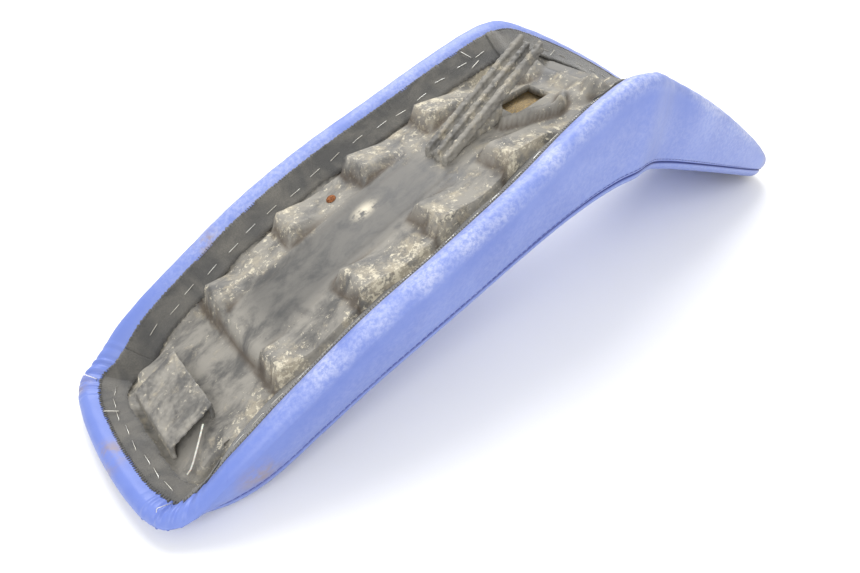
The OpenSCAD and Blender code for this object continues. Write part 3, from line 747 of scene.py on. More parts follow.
# %% Rows of a side panel
def panel_surface(b, depth):
    """The side panel's face from its stapled edge, over the rim and down to the seam."""
    run = along_station(b)
    pleat = corner_pleats(b)
    folds = np.sin(run * 2 * np.pi / 7.5 + 1.4 * np.sin(run / 9.0)) + 0.5 * np.sin(run * 2 * np.pi / 4.3)
    tug = np.cos((run % STAPLE_PITCH) / STAPLE_PITCH * 2 * np.pi)
    rows = []

    def row(p, lift):
        out = np.stack([b[:, 2], b[:, 3], np.zeros(len(b))], -1)
        rows.append(p - out * lift[:, None] if np.ndim(lift) else p - out * lift)

    for along in np.linspace(WRAP_L + 1.5, 0, 4):
        p = flange_pt(b, depth, along)
        p[:, 2] += 0.8 * pleat * folds
        rows.append(p)
    for angle in np.radians(np.linspace(90, 0, 13)):
        high = math.sin(angle)
        p = rim_pt(b, depth - 0.8 * pleat * folds * high - 0.12 * tug * high, angle)
        rows.append(p)
    for share in np.linspace(0.04, SEAM_SHARE, 26):
        p = wall_pt(b, depth, share)
        hills = 0.55 * soft_hills(p) * math.sin(math.pi * share) + 0.10 * small_hills(p)
        drape = 0.8 * pleat * folds * (1 - share) ** 2
        row(p, hills + drape)
    # The seam allowance turns in between the two panels.
    for share, tuck in ((SEAM_SHARE + 0.008, 0.25), (SEAM_SHARE + 0.02, 0.8), (1.0, 1.5)):
        p = wall_pt(b, depth, share)
        row(p, np.full(len(b), -tuck))
    return np.stack(rows, 1)

# %% Marks on the vinyl
def paint(piece, name, values):
    """Stores one number per vertex for a material to read."""
    attribute = piece.data.attributes.new(name, "FLOAT", "POINT")
    attribute.data.foreach_set("value", np.asarray(values, np.float32).ravel())


def cover_marks(points, seam_shade):
    """Where the vinyl is rubbed, scuffed or stained, where its right wall gets a painted reflection, and where its
    seam gets painted shade.
    """
    x, y, z = points.T
    rim = curve(RIM, x)
    crest = ease(15, 1, rim - z) * ease(40, 120, x) * ease(690, 600, x)
    wear_and_reflection = 0.75 * crest * ease(-1.6, 0.9, small_hills(points) * 0.4 + soft_hills(points) * 0.4)
    wear_and_reflection += 0.35 * ease(470, 520, x) * ease(690, 560, x) * ease(40, 8, rim - z)
    # The right side's wall is painted paler down from the rim, a painted reflection of the pale bench; the left side's
    # rubbing is scaled down.
    wear_and_reflection = np.where(y < 0, wear_and_reflection + 0.20 * ease(4, 40, rim - z), 0.55 * wear_and_reflection)
    scuff = ease(648, 684, x) * 0.95 + 0.4 * ease(610, 670, x) * ease(14, 4, rim - z)
    stain = bump(np.hypot(x - 118, z - 84), 0, 16) * (y > 0)
    stain += 0.9 * bump(np.hypot(x + 9, y + 8), 0, 22) + 0.8 * bump(np.hypot(x - 60, z - 30), 0, 22) * (y < 0)
    stain += 0.7 * bump(np.hypot(x + 3, y - 70), 0, 14)
    return {"wear_and_reflection": wear_and_reflection, "scuff": scuff, "stain": stain, "seam_shade": seam_shade}

# %% Sewn panels
def sewn_panel(name, b, *nodes):
    face, back = panel_surface(b, 0), panel_surface(b, VINYL_T)
    points, faces = sheet_between(face, back)
    piece = make_piece(name, points, faces, vinyl)
    # The rows turned into the seam get painted shade.
    seam_shade_rows = np.zeros(face.shape[:2])
    seam_shade_rows[:, -1], seam_shade_rows[:, -2], seam_shade_rows[:, -3] = 1, 0.9, 0.45
    seam_shade_rows = np.concatenate([seam_shade_rows.ravel(), seam_shade_rows.ravel()])
    for key, values in cover_marks(points, seam_shade_rows).items():
        paint(piece, key, values)
    return stands_for(piece, "vinyl", *nodes)


# The rear panel ends where the pleats do, 40 mm along each side.
PANEL_STEPS = 560
REAR_END_S = float(outline_at(40))
sides_s = np.concatenate([[REAR_END_S - 0.003], np.linspace(REAR_END_S - 0.002, NOSE_TIP, PANEL_STEPS)])
left_side = sewn_panel("vinyl_side_left", placed(sides_s, 1), "cover_side_left")
right_side = sewn_panel("vinyl_side_right", placed(sides_s[::-1], -1), "cover_side_right")
rear_s = np.concatenate([[-REAR_END_S - 0.001], np.linspace(-REAR_END_S, REAR_END_S, 261), [REAR_END_S + 0.001]])
rear_stations = placed(abs(rear_s), np.where(rear_s < 0, -1, 1))
rear_panel = sewn_panel("vinyl_rear", rear_stations, "cover_rear")

# %% Riding surface
def ride_skin(depth):
    b = ROUND
    rings = []
    for angle, tuck in ((0, 1.4), (6, 0.7), (14, 0.2), (26, 0), (40, 0), (54, 0), (68, 0), (82, 0)):
        p = corner_pt(b, depth + tuck, np.radians(angle))
        rings.append(p)
    border = ride_edge(b)
    inside = coons(border)
    swell = 0.5 * soft_hills(np.concatenate([inside, np.zeros(inside.shape[:2] + (1,))], -1))
    z = ride_z(inside[..., 0], inside[..., 1], depth) + np.maximum(swell, -0.2) * 0.6
    edge_z = ride_z(border[:, 0], border[:, 1], depth)
    for share in (0.25, 0.5, 0.75, 1.0):
        last = corner_pt(b, depth, np.radians(90))
        p = mix(last, np.concatenate([border, edge_z[:, None]], 1), share)
        p[:, 2] = mix(last[:, 2], edge_z, share)
        rings.append(p)
    fade = np.minimum(1, np.linspace(0, 12, SIDE_STEPS + 1))[:, None]
    z = mix(ride_z(inside[..., 0], inside[..., 1], depth), z, fade)
    return skin(rings, np.concatenate([inside, z[..., None]], -1))


ride_outer, ride_inner = ride_skin(0), ride_skin(VINYL_T)
points, faces = two_skins(ride_outer, ride_inner)
riding_surface = make_piece("vinyl_riding_surface", points, faces, vinyl)
# The first rings, tucked into the seam, get painted shade.
seam_shade_rows = np.zeros(len(ride_outer[0]))
seam_shade_rows[:RING_N], seam_shade_rows[RING_N:2 * RING_N] = 1, 0.5
for key, values in cover_marks(points, np.concatenate([seam_shade_rows, seam_shade_rows])).items():
    paint(riding_surface, key, values)
stands_for(riding_surface, "vinyl", "cover_top")

# %% [markdown]
# # The pan
#
# One moulding holds everything up: a flange under the felt, a floor that follows the rim, a step,
# four pairs of blocks that rest on the motorcycle's frame, two cross waves by the peak, and the
# ridges round the pocket below the hook. All of that is one height above the plan, so the floor
# is a height field on the grid, with the blocks' steep faces made by a quick rise in height.

# %% Pan heights
FIRST_BLOCK_X, BLOCK_PITCH, BLOCK_H, STEP_H = 96, 65, 13, 8
BLOCK_INNER_Y = 29
mud_lumps = ripple_field(12, 9, 34)
crumbs = ripple_field(12, 4, 10)


def floor_z(x):
    wave = sum(8 * np.exp(-((x - w) / 9) ** 2) for w in (405, 436))
    step = ease(FIRST_BLOCK_X - 1.5, FIRST_BLOCK_X + 2.5, x)
    fade = ease(FIRST_BLOCK_X + 3 * BLOCK_PITCH + 10, FIRST_BLOCK_X + 3 * BLOCK_PITCH + 70, x)
    return curve(RIM, x) - curve(DEPTH, x) + wave + STEP_H * (step - fade)


def rounder(a, b, r):
    """The higher of two heights, with the inner corner between them rounded."""
    h = np.clip(0.5 + 0.5 * (a - b) / r, 0, 1)
    return mix(b, a, h) + r * h * (1 - h)

# %% Blocks and ridges
def block_heights(x, y):
    """Height of the blocks above the floor: a steep rear face and a nearly level top."""
    rise = np.zeros_like(x)
    base = floor_z(x)
    for k in range(4):
        start = FIRST_BLOCK_X + k * BLOCK_PITCH
        top = floor_z(np.array(start + 1.5)) + BLOCK_H + 0.04 * (x - start)
        side = ease(BLOCK_INNER_Y - 2.5, BLOCK_INNER_Y + 5, abs(y) - 0.06 * (x - start))
        front = ease(start - 2, start + 3, x) * ease(start + 58, start + 40, x)
        lift = np.maximum(0, rounder(top, base, 3) - base) * front * side
        rise = np.maximum(rise, lift)
    return rise


def ridge(x, y, a, b, width, height):
    """A rounded ridge between two places in the plan."""
    a, b = np.array(a, float), np.array(b, float)
    along = np.clip(((x - a[0]) * (b - a)[0] + (y - a[1]) * (b - a)[1]) / ((b - a) @ (b - a)), 0, 1)
    gap = np.hypot(x - mix(a[0], b[0], along), y - mix(a[1], b[1], along))
    return height * (1 - ease(0.35 * width, width, gap))


def pan_features(x, y):
    """Everything on the floor other than mud, above the plain floor."""
    h = block_heights(x, y)
    for side in (-1, 1):
        h = h + ridge(x, y, (326, side * 16), (365, side * 34), 5, 8)
        h = h + ridge(x, y, (368, side * 34), (384, side * 22), 5, 6)
        h = np.maximum(h, ridge(x, y, (392, side * 30), (396, side * 30), 15, 5))
    h = h + ridge(x, y, (402, -38), (440, -30), 12, 5)
    # A shallow rib runs either side of the middle, and the floor is dished between the blocks.
    h = h + 1.2 * bump(abs(y), 24, 5) * ease(110, 130, x) * ease(280, 262, x)
    return h

# %% Mud
def mud_cover(x, y):
    """How much mud has settled: little in the wiped band, most on the ledges and at the rear."""
    p = np.stack([x, y, 0 * x], -1)
    ledges = ease(2, 10, block_heights(x, y))
    band = ease(30, 16, abs(y)) * ease(100, 120, x) * ease(270, 240, x)
    m = 0.45 + 0.12 * ledges + 0.14 * ease(24, 60, abs(y)) - 0.45 * band + 0.16 * soft_hills(p) + 0.10 * mud_lumps(p)
    m += 0.02 * ease(110, 60, x) - 0.25 * ease(430, 480, x)
    return np.clip(m, 0, 1)


def pan_height(x, y):
    p = np.stack([x, y, 0 * x], -1)
    mud = mud_cover(x, y)
    lumps = 0.32 * mud_lumps(p) + 0.18 * crumbs(p)
    warp = 0.6 * soft_hills(p)
    return floor_z(x) + pan_features(x, y) + warp + ease(0.45, 0.9, mud) * lumps


block_top = float(pan_height(np.array([FIRST_BLOCK_X + 15.0]), np.array([50.0]))[0])
print("first block's top", round(block_top, 1), "mm above the bench")

# %% Pan mesh
HOLE_X, HOLE_L = 360, 38
FLANGE_STEPS = (0.0, 0.5, 0.9, 1.0)


def pan_skin(depth):
    """The pan's upper face, or the face under it at a depth."""
    b = ROUND
    d = PAN_D + depth
    rings = [rim_pt(b, d, np.pi / 2)] + [flange_pt(b, d, flange_l(b) * t) for t in FLANGE_STEPS]
    border3 = flange_pt(b, PAN_D, flange_l(b) + 7)
    border = border3[:, :2]
    foot = flange_pt(b, d, flange_l(b) + 1)
    grid = coons(border)
    under = depth > 0
    z_of = (lambda x, y: floor_z(x) - depth - 1.2) if under else pan_height
    for t in (0.15, 0.35, 0.6, 0.85, 1.0):
        p = mix(foot, border3, t)
        z = z_of(p[:, 0], p[:, 1])
        p[:, 2] = mix(foot[:, 2], np.minimum(z, foot[:, 2] + 4) if t < 1 else z, float(ease(0, 1, t)))
        rings.append(p)
    z = z_of(grid[..., 0], grid[..., 1])
    return rings, np.concatenate([grid, z[..., None]], -1)

# %% The hole in the pan
def nearest_line(values, target):
    return int(np.argmin(abs(values - target)))


rings, inside = pan_skin(0)
middle = END_STEPS // 2
line_x = inside[:, middle, 0]
line_y = inside[nearest_line(line_x, HOLE_X), :, 1]
hole = (nearest_line(line_x, HOLE_X - HOLE_L / 2), nearest_line(line_x, HOLE_X + HOLE_L / 2),
        nearest_line(line_y, -12.5), nearest_line(line_y, 12.5))
# The hole's rim is rolled up a little, as a moulded edge is.
hole_lip = ease(4.5, 0, np.maximum(abs(inside[..., 0] - HOLE_X) - HOLE_L / 2, abs(inside[..., 1]) - 12.5))
inside[..., 2] += 1.6 * hole_lip
upper = skin(rings, inside, hole)
under = skin(*pan_skin(PAN_T), hole)
points, faces = two_skins(upper, under, hole)
pan = make_piece("pan_moulding", points, faces, pan_plastic)
x, y = points[:, 0], points[:, 1]
paint(pan, "mud", mud_cover(x, y))
wiped = ease(34, 20, abs(y)) * ease(100, 125, x) * ease(290, 250, x) + 0.8 * ease(385, 412, x)
paint(pan, "wiped", wiped)

# %% Painted shade in the corners
def nooks(x, y, reach=4.5):
    """How deep a place lies in a corner, which sets its painted shade: its height against the heights round it."""
    ways = [(math.cos(a), math.sin(a)) for a in np.linspace(0, 2 * np.pi, 8, False)]
    round_it = sum(floor_z(x + reach * i) + pan_features(x + reach * i, y + reach * j) for i, j in ways) / len(ways)
    return np.clip((round_it - floor_z(x) - pan_features(x, y) - 0.15) / 1.6, 0, 1)


# The pan's corners get painted shade, more the deeper they lie.
paint(pan, "nook", nooks(x, y))
paint(pan, "cream", bump(np.hypot((x - 212) / 1.5, y - 8), 0, 10))
stands_for(pan, "pan_plastic", "seat_pan")

# %% [markdown]
# # The foam
#
# A single block of foam fills the space between pan and cover. Only a patch shows, through the
# hole under the hook, but it is the whole block, so the seat is as full as it should be.

# %% Foam
def foam_skin_top():
    b = ROUND
    rings = [flange_pt(b, FOAM_D + 0.6, flange_l(b) * t) for t in (0.0, 0.5, 1.0)]
    border3 = flange_pt(b, PAN_D, flange_l(b) + 7)
    foot = rings[-1]
    for t in (0.5, 1.0):
        p = mix(foot, border3, t)
        p[:, 2] = np.minimum(foot[:, 2] - 1.5, mix(foot[:, 2], floor_z(p[:, 0]) - PAN_T - 5.2, t))
        rings.append(p)
    grid = coons(border3[:, :2])
    z = floor_z(grid[..., 0]) - PAN_T - 5.2
    near_hole = bump(grid[..., 0], HOLE_X, 26) * bump(grid[..., 1], 0, 20)
    z = z + 3.9 * near_hole + 0.8 * crumbs(np.concatenate([grid, z[..., None]], -1)) * near_hole
    return skin(rings, np.concatenate([grid, z[..., None]], -1))


def foam_skin_bottom():
    b = ROUND
    rings = [flange_pt(b, FOAM_D + 0.6, 0)] + [rim_pt(b, FOAM_D + 0.6, np.radians(a)) for a in (60, 30, 0)]
    rings += [wall_pt(b, FOAM_D + 0.6, s) for s in (0.3, 0.6, 0.9)]
    rings += [corner_pt(b, PAN_D + 0.6, np.radians(a)) for a in (20, 45, 70)]
    border = ride_edge(b)
    rings.append(np.concatenate([border, ride_z(border[:, 0], border[:, 1], PAN_D + 0.6)[:, None]], 1))
    grid = coons(border)
    return skin(rings, np.concatenate([grid, ride_z(grid[..., 0], grid[..., 1], PAN_D + 0.6)[..., None]], -1))


top, bottom = foam_skin_top(), foam_skin_bottom()
points = np.concatenate([top[0], bottom[0][RING_N:]])
shared = np.concatenate([np.arange(RING_N), len(top[0]) + np.arange(len(bottom[0]) - RING_N)])
foam_block = make_piece("foam_block", points, np.concatenate([top[1], shared[bottom[1]][:, ::-1]]), foam)
stands_for(foam_block, "foam", "foam_core")

# %% [markdown]
# # The felt edging
#
# Strips of felt are laid over the vinyl's raw edge so that the staples don't tear through it. The
# strips lap over each other at the rear corners and by the peak. The inner edge was never fixed,
# so it waves and lifts, while the outer edge is held down by a row of overlock stitches. A thin
# solid between two grids gives each strip its real thickness.

# %% Edging strips
edge_waves = ripple_field(10, 18, 60)
edge_frays = ripple_field(12, 2.2, 5)
LAP_LIFT = FELT_T + GAP
FELT_ROWS = 9


def up_from_flange(b):
    """The direction straight out of the flange."""
    t = tilt(b)
    return np.stack([b[:, 2] * np.sin(t), b[:, 3] * np.sin(t), np.cos(t)], -1)


def strip_surface(b, depth, lap):
    """A strip's face from its stitched outer edge to its loose inner edge."""
    run = along_station(b)
    end = np.minimum(run, run[-1] - run)
    lift = LAP_LIFT * ease(16, 6, end) if lap else np.zeros(len(run))
    rows = []
    for share in np.linspace(0, 1, FELT_ROWS):
        along = mix(WRAP_L + 0.6 * GAP, flange_l(b), share)
        p = flange_pt(b, 0, along)
        wave = edge_waves(p)
        loose = ease(0.55, 1.0, share)
        along = along + loose * (0.9 * wave + 0.5 * edge_frays(p)) + (1 - share) ** 4 * 0.45 * edge_frays(p * 1.3)
        raised = lift + loose * (0.9 + 0.9 * wave) + 0.25 * edge_waves(p * 1.7) * (1 - bump(share, 0.5, 0.4))
        rows.append(flange_pt(b, depth, along) + up_from_flange(b) * raised[:, None])
    return np.stack(rows, 1)

# %% Strips round the rim
def felt_strip(name, b, lap, *nodes):
    top_face = strip_surface(b, VINYL_T - FELT_T - 0.1, lap)
    low_face = strip_surface(b, VINYL_T - 0.1, lap)
    piece = make_piece(name, *sheet_between(top_face, low_face), felt)
    return stands_for(piece, "felt", *nodes)


LAP_S = float(outline_at(384))
OVER_S = float(outline_at(400))
left_s = np.linspace(REAR_CORNER - 0.15, OVER_S, 620)
felt_strip("felt_left", placed(left_s, 1), False, "edging_left")
felt_strip("felt_right", placed(left_s[::-1], -1), False, "edging_right")
rear_end = REAR_CORNER + 1.0
across_s = np.linspace(-rear_end, rear_end, 420)
felt_strip("felt_rear", placed(abs(across_s), np.where(across_s < 0, -1, 1)), True, "edging_rear")
nose_s = np.concatenate([np.linspace(LAP_S, NOSE_TIP, 430), np.linspace(NOSE_TIP, LAP_S, 430)[1:]])
nose_side = np.concatenate([np.ones(430), -np.ones(429)])
felt_strip("felt_nose", placed(nose_s, nose_side), True, "edging_nose")

# %% [markdown]
# # Stitches
#
# A row of stitches is one short shape repeated along a path, so it is a Geometry Nodes tree. The
# tree cuts the path into equal steps, sets a stitch on each, turns it along or across the path,
# and varies it a little from a fixed seed. The seams use it with long stitches in blue thread,
# and the felt's outer edge uses it with short crosswise stitches in black.

# %% Geometry Nodes helpers
class Tree:
    """A Geometry Nodes tree with named inputs."""

    def __init__(self, name, inputs):
        self.tree = bpy.data.node_groups.new(name, "GeometryNodeTree")
        new = self.tree.interface.new_socket
        new(name="Geometry", in_out="INPUT", socket_type="NodeSocketGeometry")
        for key, (kind, value) in inputs.items():
            s = new(name=key, in_out="INPUT", socket_type=kind)
            if value is not None:
                s.default_value = value
        new(name="Geometry", in_out="OUTPUT", socket_type="NodeSocketGeometry")
        self.given = self.add("NodeGroupInput").outputs
        self.out = self.add("NodeGroupOutput").inputs

    def add(self, kind, inputs=None, **values):
        node = self.tree.nodes.new(kind)
        for name, value in values.items():
            setattr(node, name, value)
        for name, value in (inputs or {}).items():
            if isinstance(value, bpy.types.NodeSocket):
                self.tree.links.new(value, node.inputs[name])
            else:
                node.inputs[name].default_value = value
        return node

    def math(self, operation, a, b=0.0):
        return self.add("ShaderNodeMath", {0: a, 1: b}, operation=operation).outputs[0]

    def finish(self, geometry):
        real = self.add("GeometryNodeRealizeInstances", {"Geometry": geometry})
        painted = self.add("GeometryNodeSetMaterial",
                           {"Geometry": real.outputs[0], "Material": self.given["Material"]})
        self.tree.links.new(painted.outputs[0], self.out[0])

# %% From a tree to a plain piece
def run_tree(name, tree, mesh, **values):
    """Runs a tree on a mesh and keeps the result as a plain piece."""
    source = bpy.data.objects.new(name + "_path", mesh)
    bpy.context.scene.collection.objects.link(source)
    modifier = source.modifiers.new("tree", "NODES")
    modifier.node_group = tree.tree
    sockets = {s.name: s.identifier for s in tree.tree.interface.items_tree if s.in_out == "INPUT"}
    for key, value in values.items():
        modifier[sockets[key.replace("_", " ")]] = value
    depsgraph = bpy.context.evaluated_depsgraph_get()
    made = bpy.data.meshes.new_from_object(source.evaluated_get(depsgraph))
    made.name = name
    made.polygons.foreach_set("use_smooth", [True] * len(made.polygons))
    piece = bpy.data.objects.new(name, made)
    bpy.context.scene.collection.objects.link(piece)
    bpy.data.objects.remove(source)
    return piece


def path_mesh(name, points, closed=False, joined=True):
    """Points in the frame's metres, joined by edges if they are a path."""
    points = np.array(points, float) * MM
    points[:, 0] += cad_low[0]
    count = len(points)
    edges = [(i, (i + 1) % count) for i in range(count if closed else count - 1)] if joined else []
    mesh = bpy.data.meshes.new(name)
    mesh.from_pydata(points.tolist(), edges, [])
    return mesh

# %% Stitch tree
stitches = Tree("stitches", {
    "Spacing": ("NodeSocketFloat", 0.005), "Stitch Length": ("NodeSocketFloat", 0.0042),
    "Thread Radius": ("NodeSocketFloat", 0.0004), "Across": ("NodeSocketFloat", 0.0),
    "Spread": ("NodeSocketFloat", 0.05), "Seed": ("NodeSocketInt", 3),
    "Material": ("NodeSocketMaterial", None)})
g = stitches.given
path = stitches.add("GeometryNodeMeshToCurve", {"Mesh": g["Geometry"]})
upright = stitches.add("GeometryNodeSetCurveNormal", {"Curve": path.outputs[0]}, mode="Z_UP")
places = stitches.add("GeometryNodeCurveToPoints", {"Curve": upright.outputs[0], "Length": g["Spacing"]},
                      mode="LENGTH")
bead = stitches.add("GeometryNodeMeshUVSphere", {"Segments": 8, "Rings": 6, "Radius": 1.0})
size = stitches.add("ShaderNodeCombineXYZ", {0: g["Thread Radius"], 1: g["Thread Radius"],
                                             2: stitches.math("MULTIPLY", g["Stitch Length"], 0.5)})
one = stitches.add("GeometryNodeTransform", {"Geometry": bead.outputs[0], "Scale": size.outputs[0]})
wander = stitches.add("FunctionNodeRandomValue", {"Seed": g["Seed"]}, data_type="FLOAT")
spread = stitches.math("MULTIPLY", stitches.math("SUBTRACT", wander.outputs[1], 0.5), g["Spread"])
turn_by = stitches.add("ShaderNodeCombineXYZ", {0: spread, 1: stitches.math("ADD", g["Across"], spread)})
to_turn = stitches.add("FunctionNodeEulerToRotation", {0: turn_by.outputs[0]})
both = stitches.add("FunctionNodeRotateRotation", {"Rotation": places.outputs["Rotation"],
                                                   "Rotate By": to_turn.outputs[0]}, rotation_space="LOCAL")
row = stitches.add("GeometryNodeInstanceOnPoints", {"Points": places.outputs["Points"], "Instance": one.outputs[0],
                                                    "Rotation": both.outputs[0]})
stitches.finish(row.outputs[0])


def stitch_row(name, points, material, nodes, closed=False, **values):
    piece = run_tree(name, stitches, path_mesh(name, points, closed), Material=material, **values)
    return stands_for(piece, "thread", *nodes)


def seam_path(b):
    return wall_pt(b, -0.1, 0.945)


SEAM = dict(Spacing=0.0052, Stitch_Length=0.0047, Thread_Radius=0.0003)
stitch_row("seam_stitches_left", seam_path(placed(sides_s, 1)), sewing_thread, ["seam_thread_left"], **SEAM)
stitch_row("seam_stitches_right", seam_path(placed(sides_s, -1)), sewing_thread, ["seam_thread_right"], **SEAM)
stitch_row("seam_stitches_rear", seam_path(rear_stations), sewing_thread, ["seam_thread_rear"], **SEAM)
stitch_row("edging_stitches", flange_pt(ROUND, -0.45, WRAP_L + 0.7), black_thread, ["edging_thread"], closed=True,
           Spacing=0.0021, Stitch_Length=0.0032, Thread_Radius=0.00036, Across=math.pi / 2, Spread=0.5)

# %% [markdown]
# # Staples
#
# A staple is one wire bent twice. The tree makes it from four points, rounds the bends, gives the
# wire its thickness, and sets one on every point it is given, turned as the point says. The points
# lie on the flange at the pitch of the real row, each a little off, as from a hand-held gun.

# %% Staple tree
STAPLE_W, STAPLE_LEG, STAPLE_WIRE = 10.6, 2.6, 0.56
staple_tree = Tree("staples", {
    "Width": ("NodeSocketFloat", STAPLE_W * MM), "Leg": ("NodeSocketFloat", STAPLE_LEG * MM),
    "Wire Radius": ("NodeSocketFloat", 0.5 * STAPLE_WIRE * MM), "Material": ("NodeSocketMaterial", None)})
g = staple_tree.given
line = staple_tree.add("GeometryNodeMeshLine", {"Count": 4})
number = staple_tree.add("GeometryNodeInputIndex").outputs[0]
inner_width = staple_tree.math("SUBTRACT", g["Width"], staple_tree.math("MULTIPLY", g["Wire Radius"], 2.0))
side_of = staple_tree.math("SUBTRACT", staple_tree.math("GREATER_THAN", number, 1.5), 0.5)
end_of = staple_tree.math("GREATER_THAN", staple_tree.math("ABSOLUTE", staple_tree.math("SUBTRACT", number, 1.5)), 1.0)
bend_at = staple_tree.add("ShaderNodeCombineXYZ", {0: staple_tree.math("MULTIPLY", side_of, inner_width),
                                                   2: staple_tree.math("MULTIPLY", end_of,
                                                                       staple_tree.math("MULTIPLY", g["Leg"], -1.0))})
bent = staple_tree.add("GeometryNodeSetPosition", {"Geometry": line.outputs[0], "Position": bend_at.outputs[0]})
wire = staple_tree.add("GeometryNodeMeshToCurve", {"Mesh": bent.outputs[0]})
rounded = staple_tree.add("GeometryNodeFilletCurve", {"Curve": wire.outputs[0], "Radius": 0.0007})
for socket in rounded.inputs:
    if socket.name == "Count":
        socket.default_value = 3
if hasattr(rounded, "mode"):
    rounded.mode = "POLY"
profile = staple_tree.add("GeometryNodeCurvePrimitiveCircle", {"Resolution": 8, "Radius": g["Wire Radius"]})
solid = staple_tree.add("GeometryNodeCurveToMesh", {"Curve": rounded.outputs[0], "Profile Curve": profile.outputs[0],
                                                    "Fill Caps": True})
turned = staple_tree.add("GeometryNodeInputNamedAttribute", {"Name": "turn"}, data_type="FLOAT_VECTOR")
as_turn = staple_tree.add("FunctionNodeEulerToRotation", {0: turned.outputs[0]})
set_on = staple_tree.add("GeometryNodeInstanceOnPoints", {"Points": g["Geometry"], "Instance": solid.outputs[0],
                                                          "Rotation": as_turn.outputs[0]})
staple_tree.finish(set_on.outputs[0])
print("staple tree:", len(staple_tree.tree.nodes), "nodes")

# %% Staple rows
STAPLE_SHARE = 0.55


def on_strip(s, side, share, turn, lift):
    """A staple's place and turn: its crown along the strip, and its legs into it."""
    s = np.asarray(s, float)
    side = np.broadcast_to(np.asarray(side, float), s.shape)
    b, before, after = placed(s, side), placed(s - 0.02, side), placed(s + 0.02, side)
    along = mix(WRAP_L, flange_l(b), np.broadcast_to(share, s.shape))
    depth = VINYL_T - FELT_T
    tangent = flange_pt(after, depth, along) - flange_pt(before, depth, along)
    tangent /= np.linalg.norm(tangent, axis=1, keepdims=True)
    normal = up_from_flange(b)
    normal -= tangent * (tangent * normal).sum(1, keepdims=True)
    normal /= np.linalg.norm(normal, axis=1, keepdims=True)
    place = flange_pt(b, depth, along) + normal * np.asarray(lift)[..., None]
    turns = []
    for t, up, angle in zip(tangent, normal, np.broadcast_to(turn, s.shape)):
        base = Matrix((t, np.cross(up, t), up)).transposed()
        turns.append((base @ Matrix.Rotation(math.radians(angle), 3, "Z")).to_euler())
    return place, turns


def staple_group(name, node, s, side, share, turn, lift=0.32):
    place, turns = on_strip(s, side, share, turn, np.full(len(s), lift))
    mesh = path_mesh(name, place, joined=False)
    attribute = mesh.attributes.new("turn", "FLOAT_VECTOR", "POINT")
    attribute.data.foreach_set("vector", np.array([tuple(t) for t in turns], np.float32).ravel())
    piece = run_tree(name, staple_tree, mesh, Material=staple_wire)
    return stands_for(piece, "staple_steel", node)


def hand_row(first_x, last_x):
    """Outline numbers for a row of staples at the real pitch, each a little off."""
    count = round((last_x - first_x) / STAPLE_PITCH) + 1
    x = np.linspace(first_x, last_x, count) + RNG.normal(0, 1.3, count)
    return outline_at(x), RNG.normal(STAPLE_SHARE, 0.05, count), RNG.normal(1, 4, count)


s, share, turn = hand_row(46, 372)
staple_group("staple_row_left", "staples_left", s, 1, share, turn)
s, share, turn = hand_row(46, 372)
staple_group("staple_row_right", "staples_right", s, -1, share, turn)
rear_at = np.array([0.33, 1, 1.67, 2.6])
REAR_LIFT = LAP_LIFT * 0.2 + 0.3
staple_group("staple_row_rear", "staples_rear", np.concatenate([rear_at, rear_at]),
             np.repeat([1, -1], 4), 0.5 + RNG.normal(0, 0.05, 8), RNG.normal(0, 8, 8), REAR_LIFT)
s, share, turn = hand_row(418, 648)
tip_at = NOSE_TIP - np.array([0.35, 1.1, 1.9])
staple_group("staple_row_nose", "staples_nose", np.concatenate([s, s, tip_at, tip_at]),
             np.concatenate([np.ones(len(s)), -np.ones(len(s)), np.ones(3), -np.ones(3)]),
             np.concatenate([share, share, np.full(6, 0.5)]), np.concatenate([turn, -turn, np.zeros(6)]))
# Staples that went in askew: outline number, side, share down the strip, turn.
ASKEW = np.array([(3.5, 1, -0.3, 75), (3.6, -1, -0.3, 70), (1.2, 1, 0.25, 70), (11.35, 1, 0.3, -65),
                  (11.4, 1, 0.75, 14), (14.6, 1, 0.65, 50)], float)
staple_group("staples_askew", "staples_stray", ASKEW[:, 0], ASKEW[:, 1], ASKEW[:, 2], ASKEW[:, 3], LAP_LIFT + 0.3)

# %% [markdown]
# # The hook
#
# The hook slides under a cross-bar at the tank. It is moulded with the pan: three ribs on a
# plate, with a web down each side. Bars with bevelled edges give the rounded ribs and the
# dark channels between them, and the bevel is the same all over, as a mould maker would cut it.

# %% Hook
HOOK_X, HOOK_L, HOOK_W, HOOK_TILT = 282, 84, 26, 35
HOOK_PLATE, RIB_W, RIB_H = 4, 5, 5
WEB_SHARE = 0.55


def block_mesh(shapes):
    """Hulls of corner lists, joined in one mesh."""
    work = bmesh.new()
    for corners in shapes:
        points = [work.verts.new((x * MM + cad_low[0], y * MM, z * MM)) for x, y, z in corners]
        made = bmesh.ops.convex_hull(work, input=points)
        loose = [v for v in made["geom_interior"] if isinstance(v, bmesh.types.BMVert)]
        bmesh.ops.delete(work, geom=loose, context="VERTS")
    bmesh.ops.dissolve_limit(work, angle_limit=math.radians(2), verts=work.verts, edges=work.edges)
    bmesh.ops.recalc_face_normals(work, faces=work.faces)
    return work


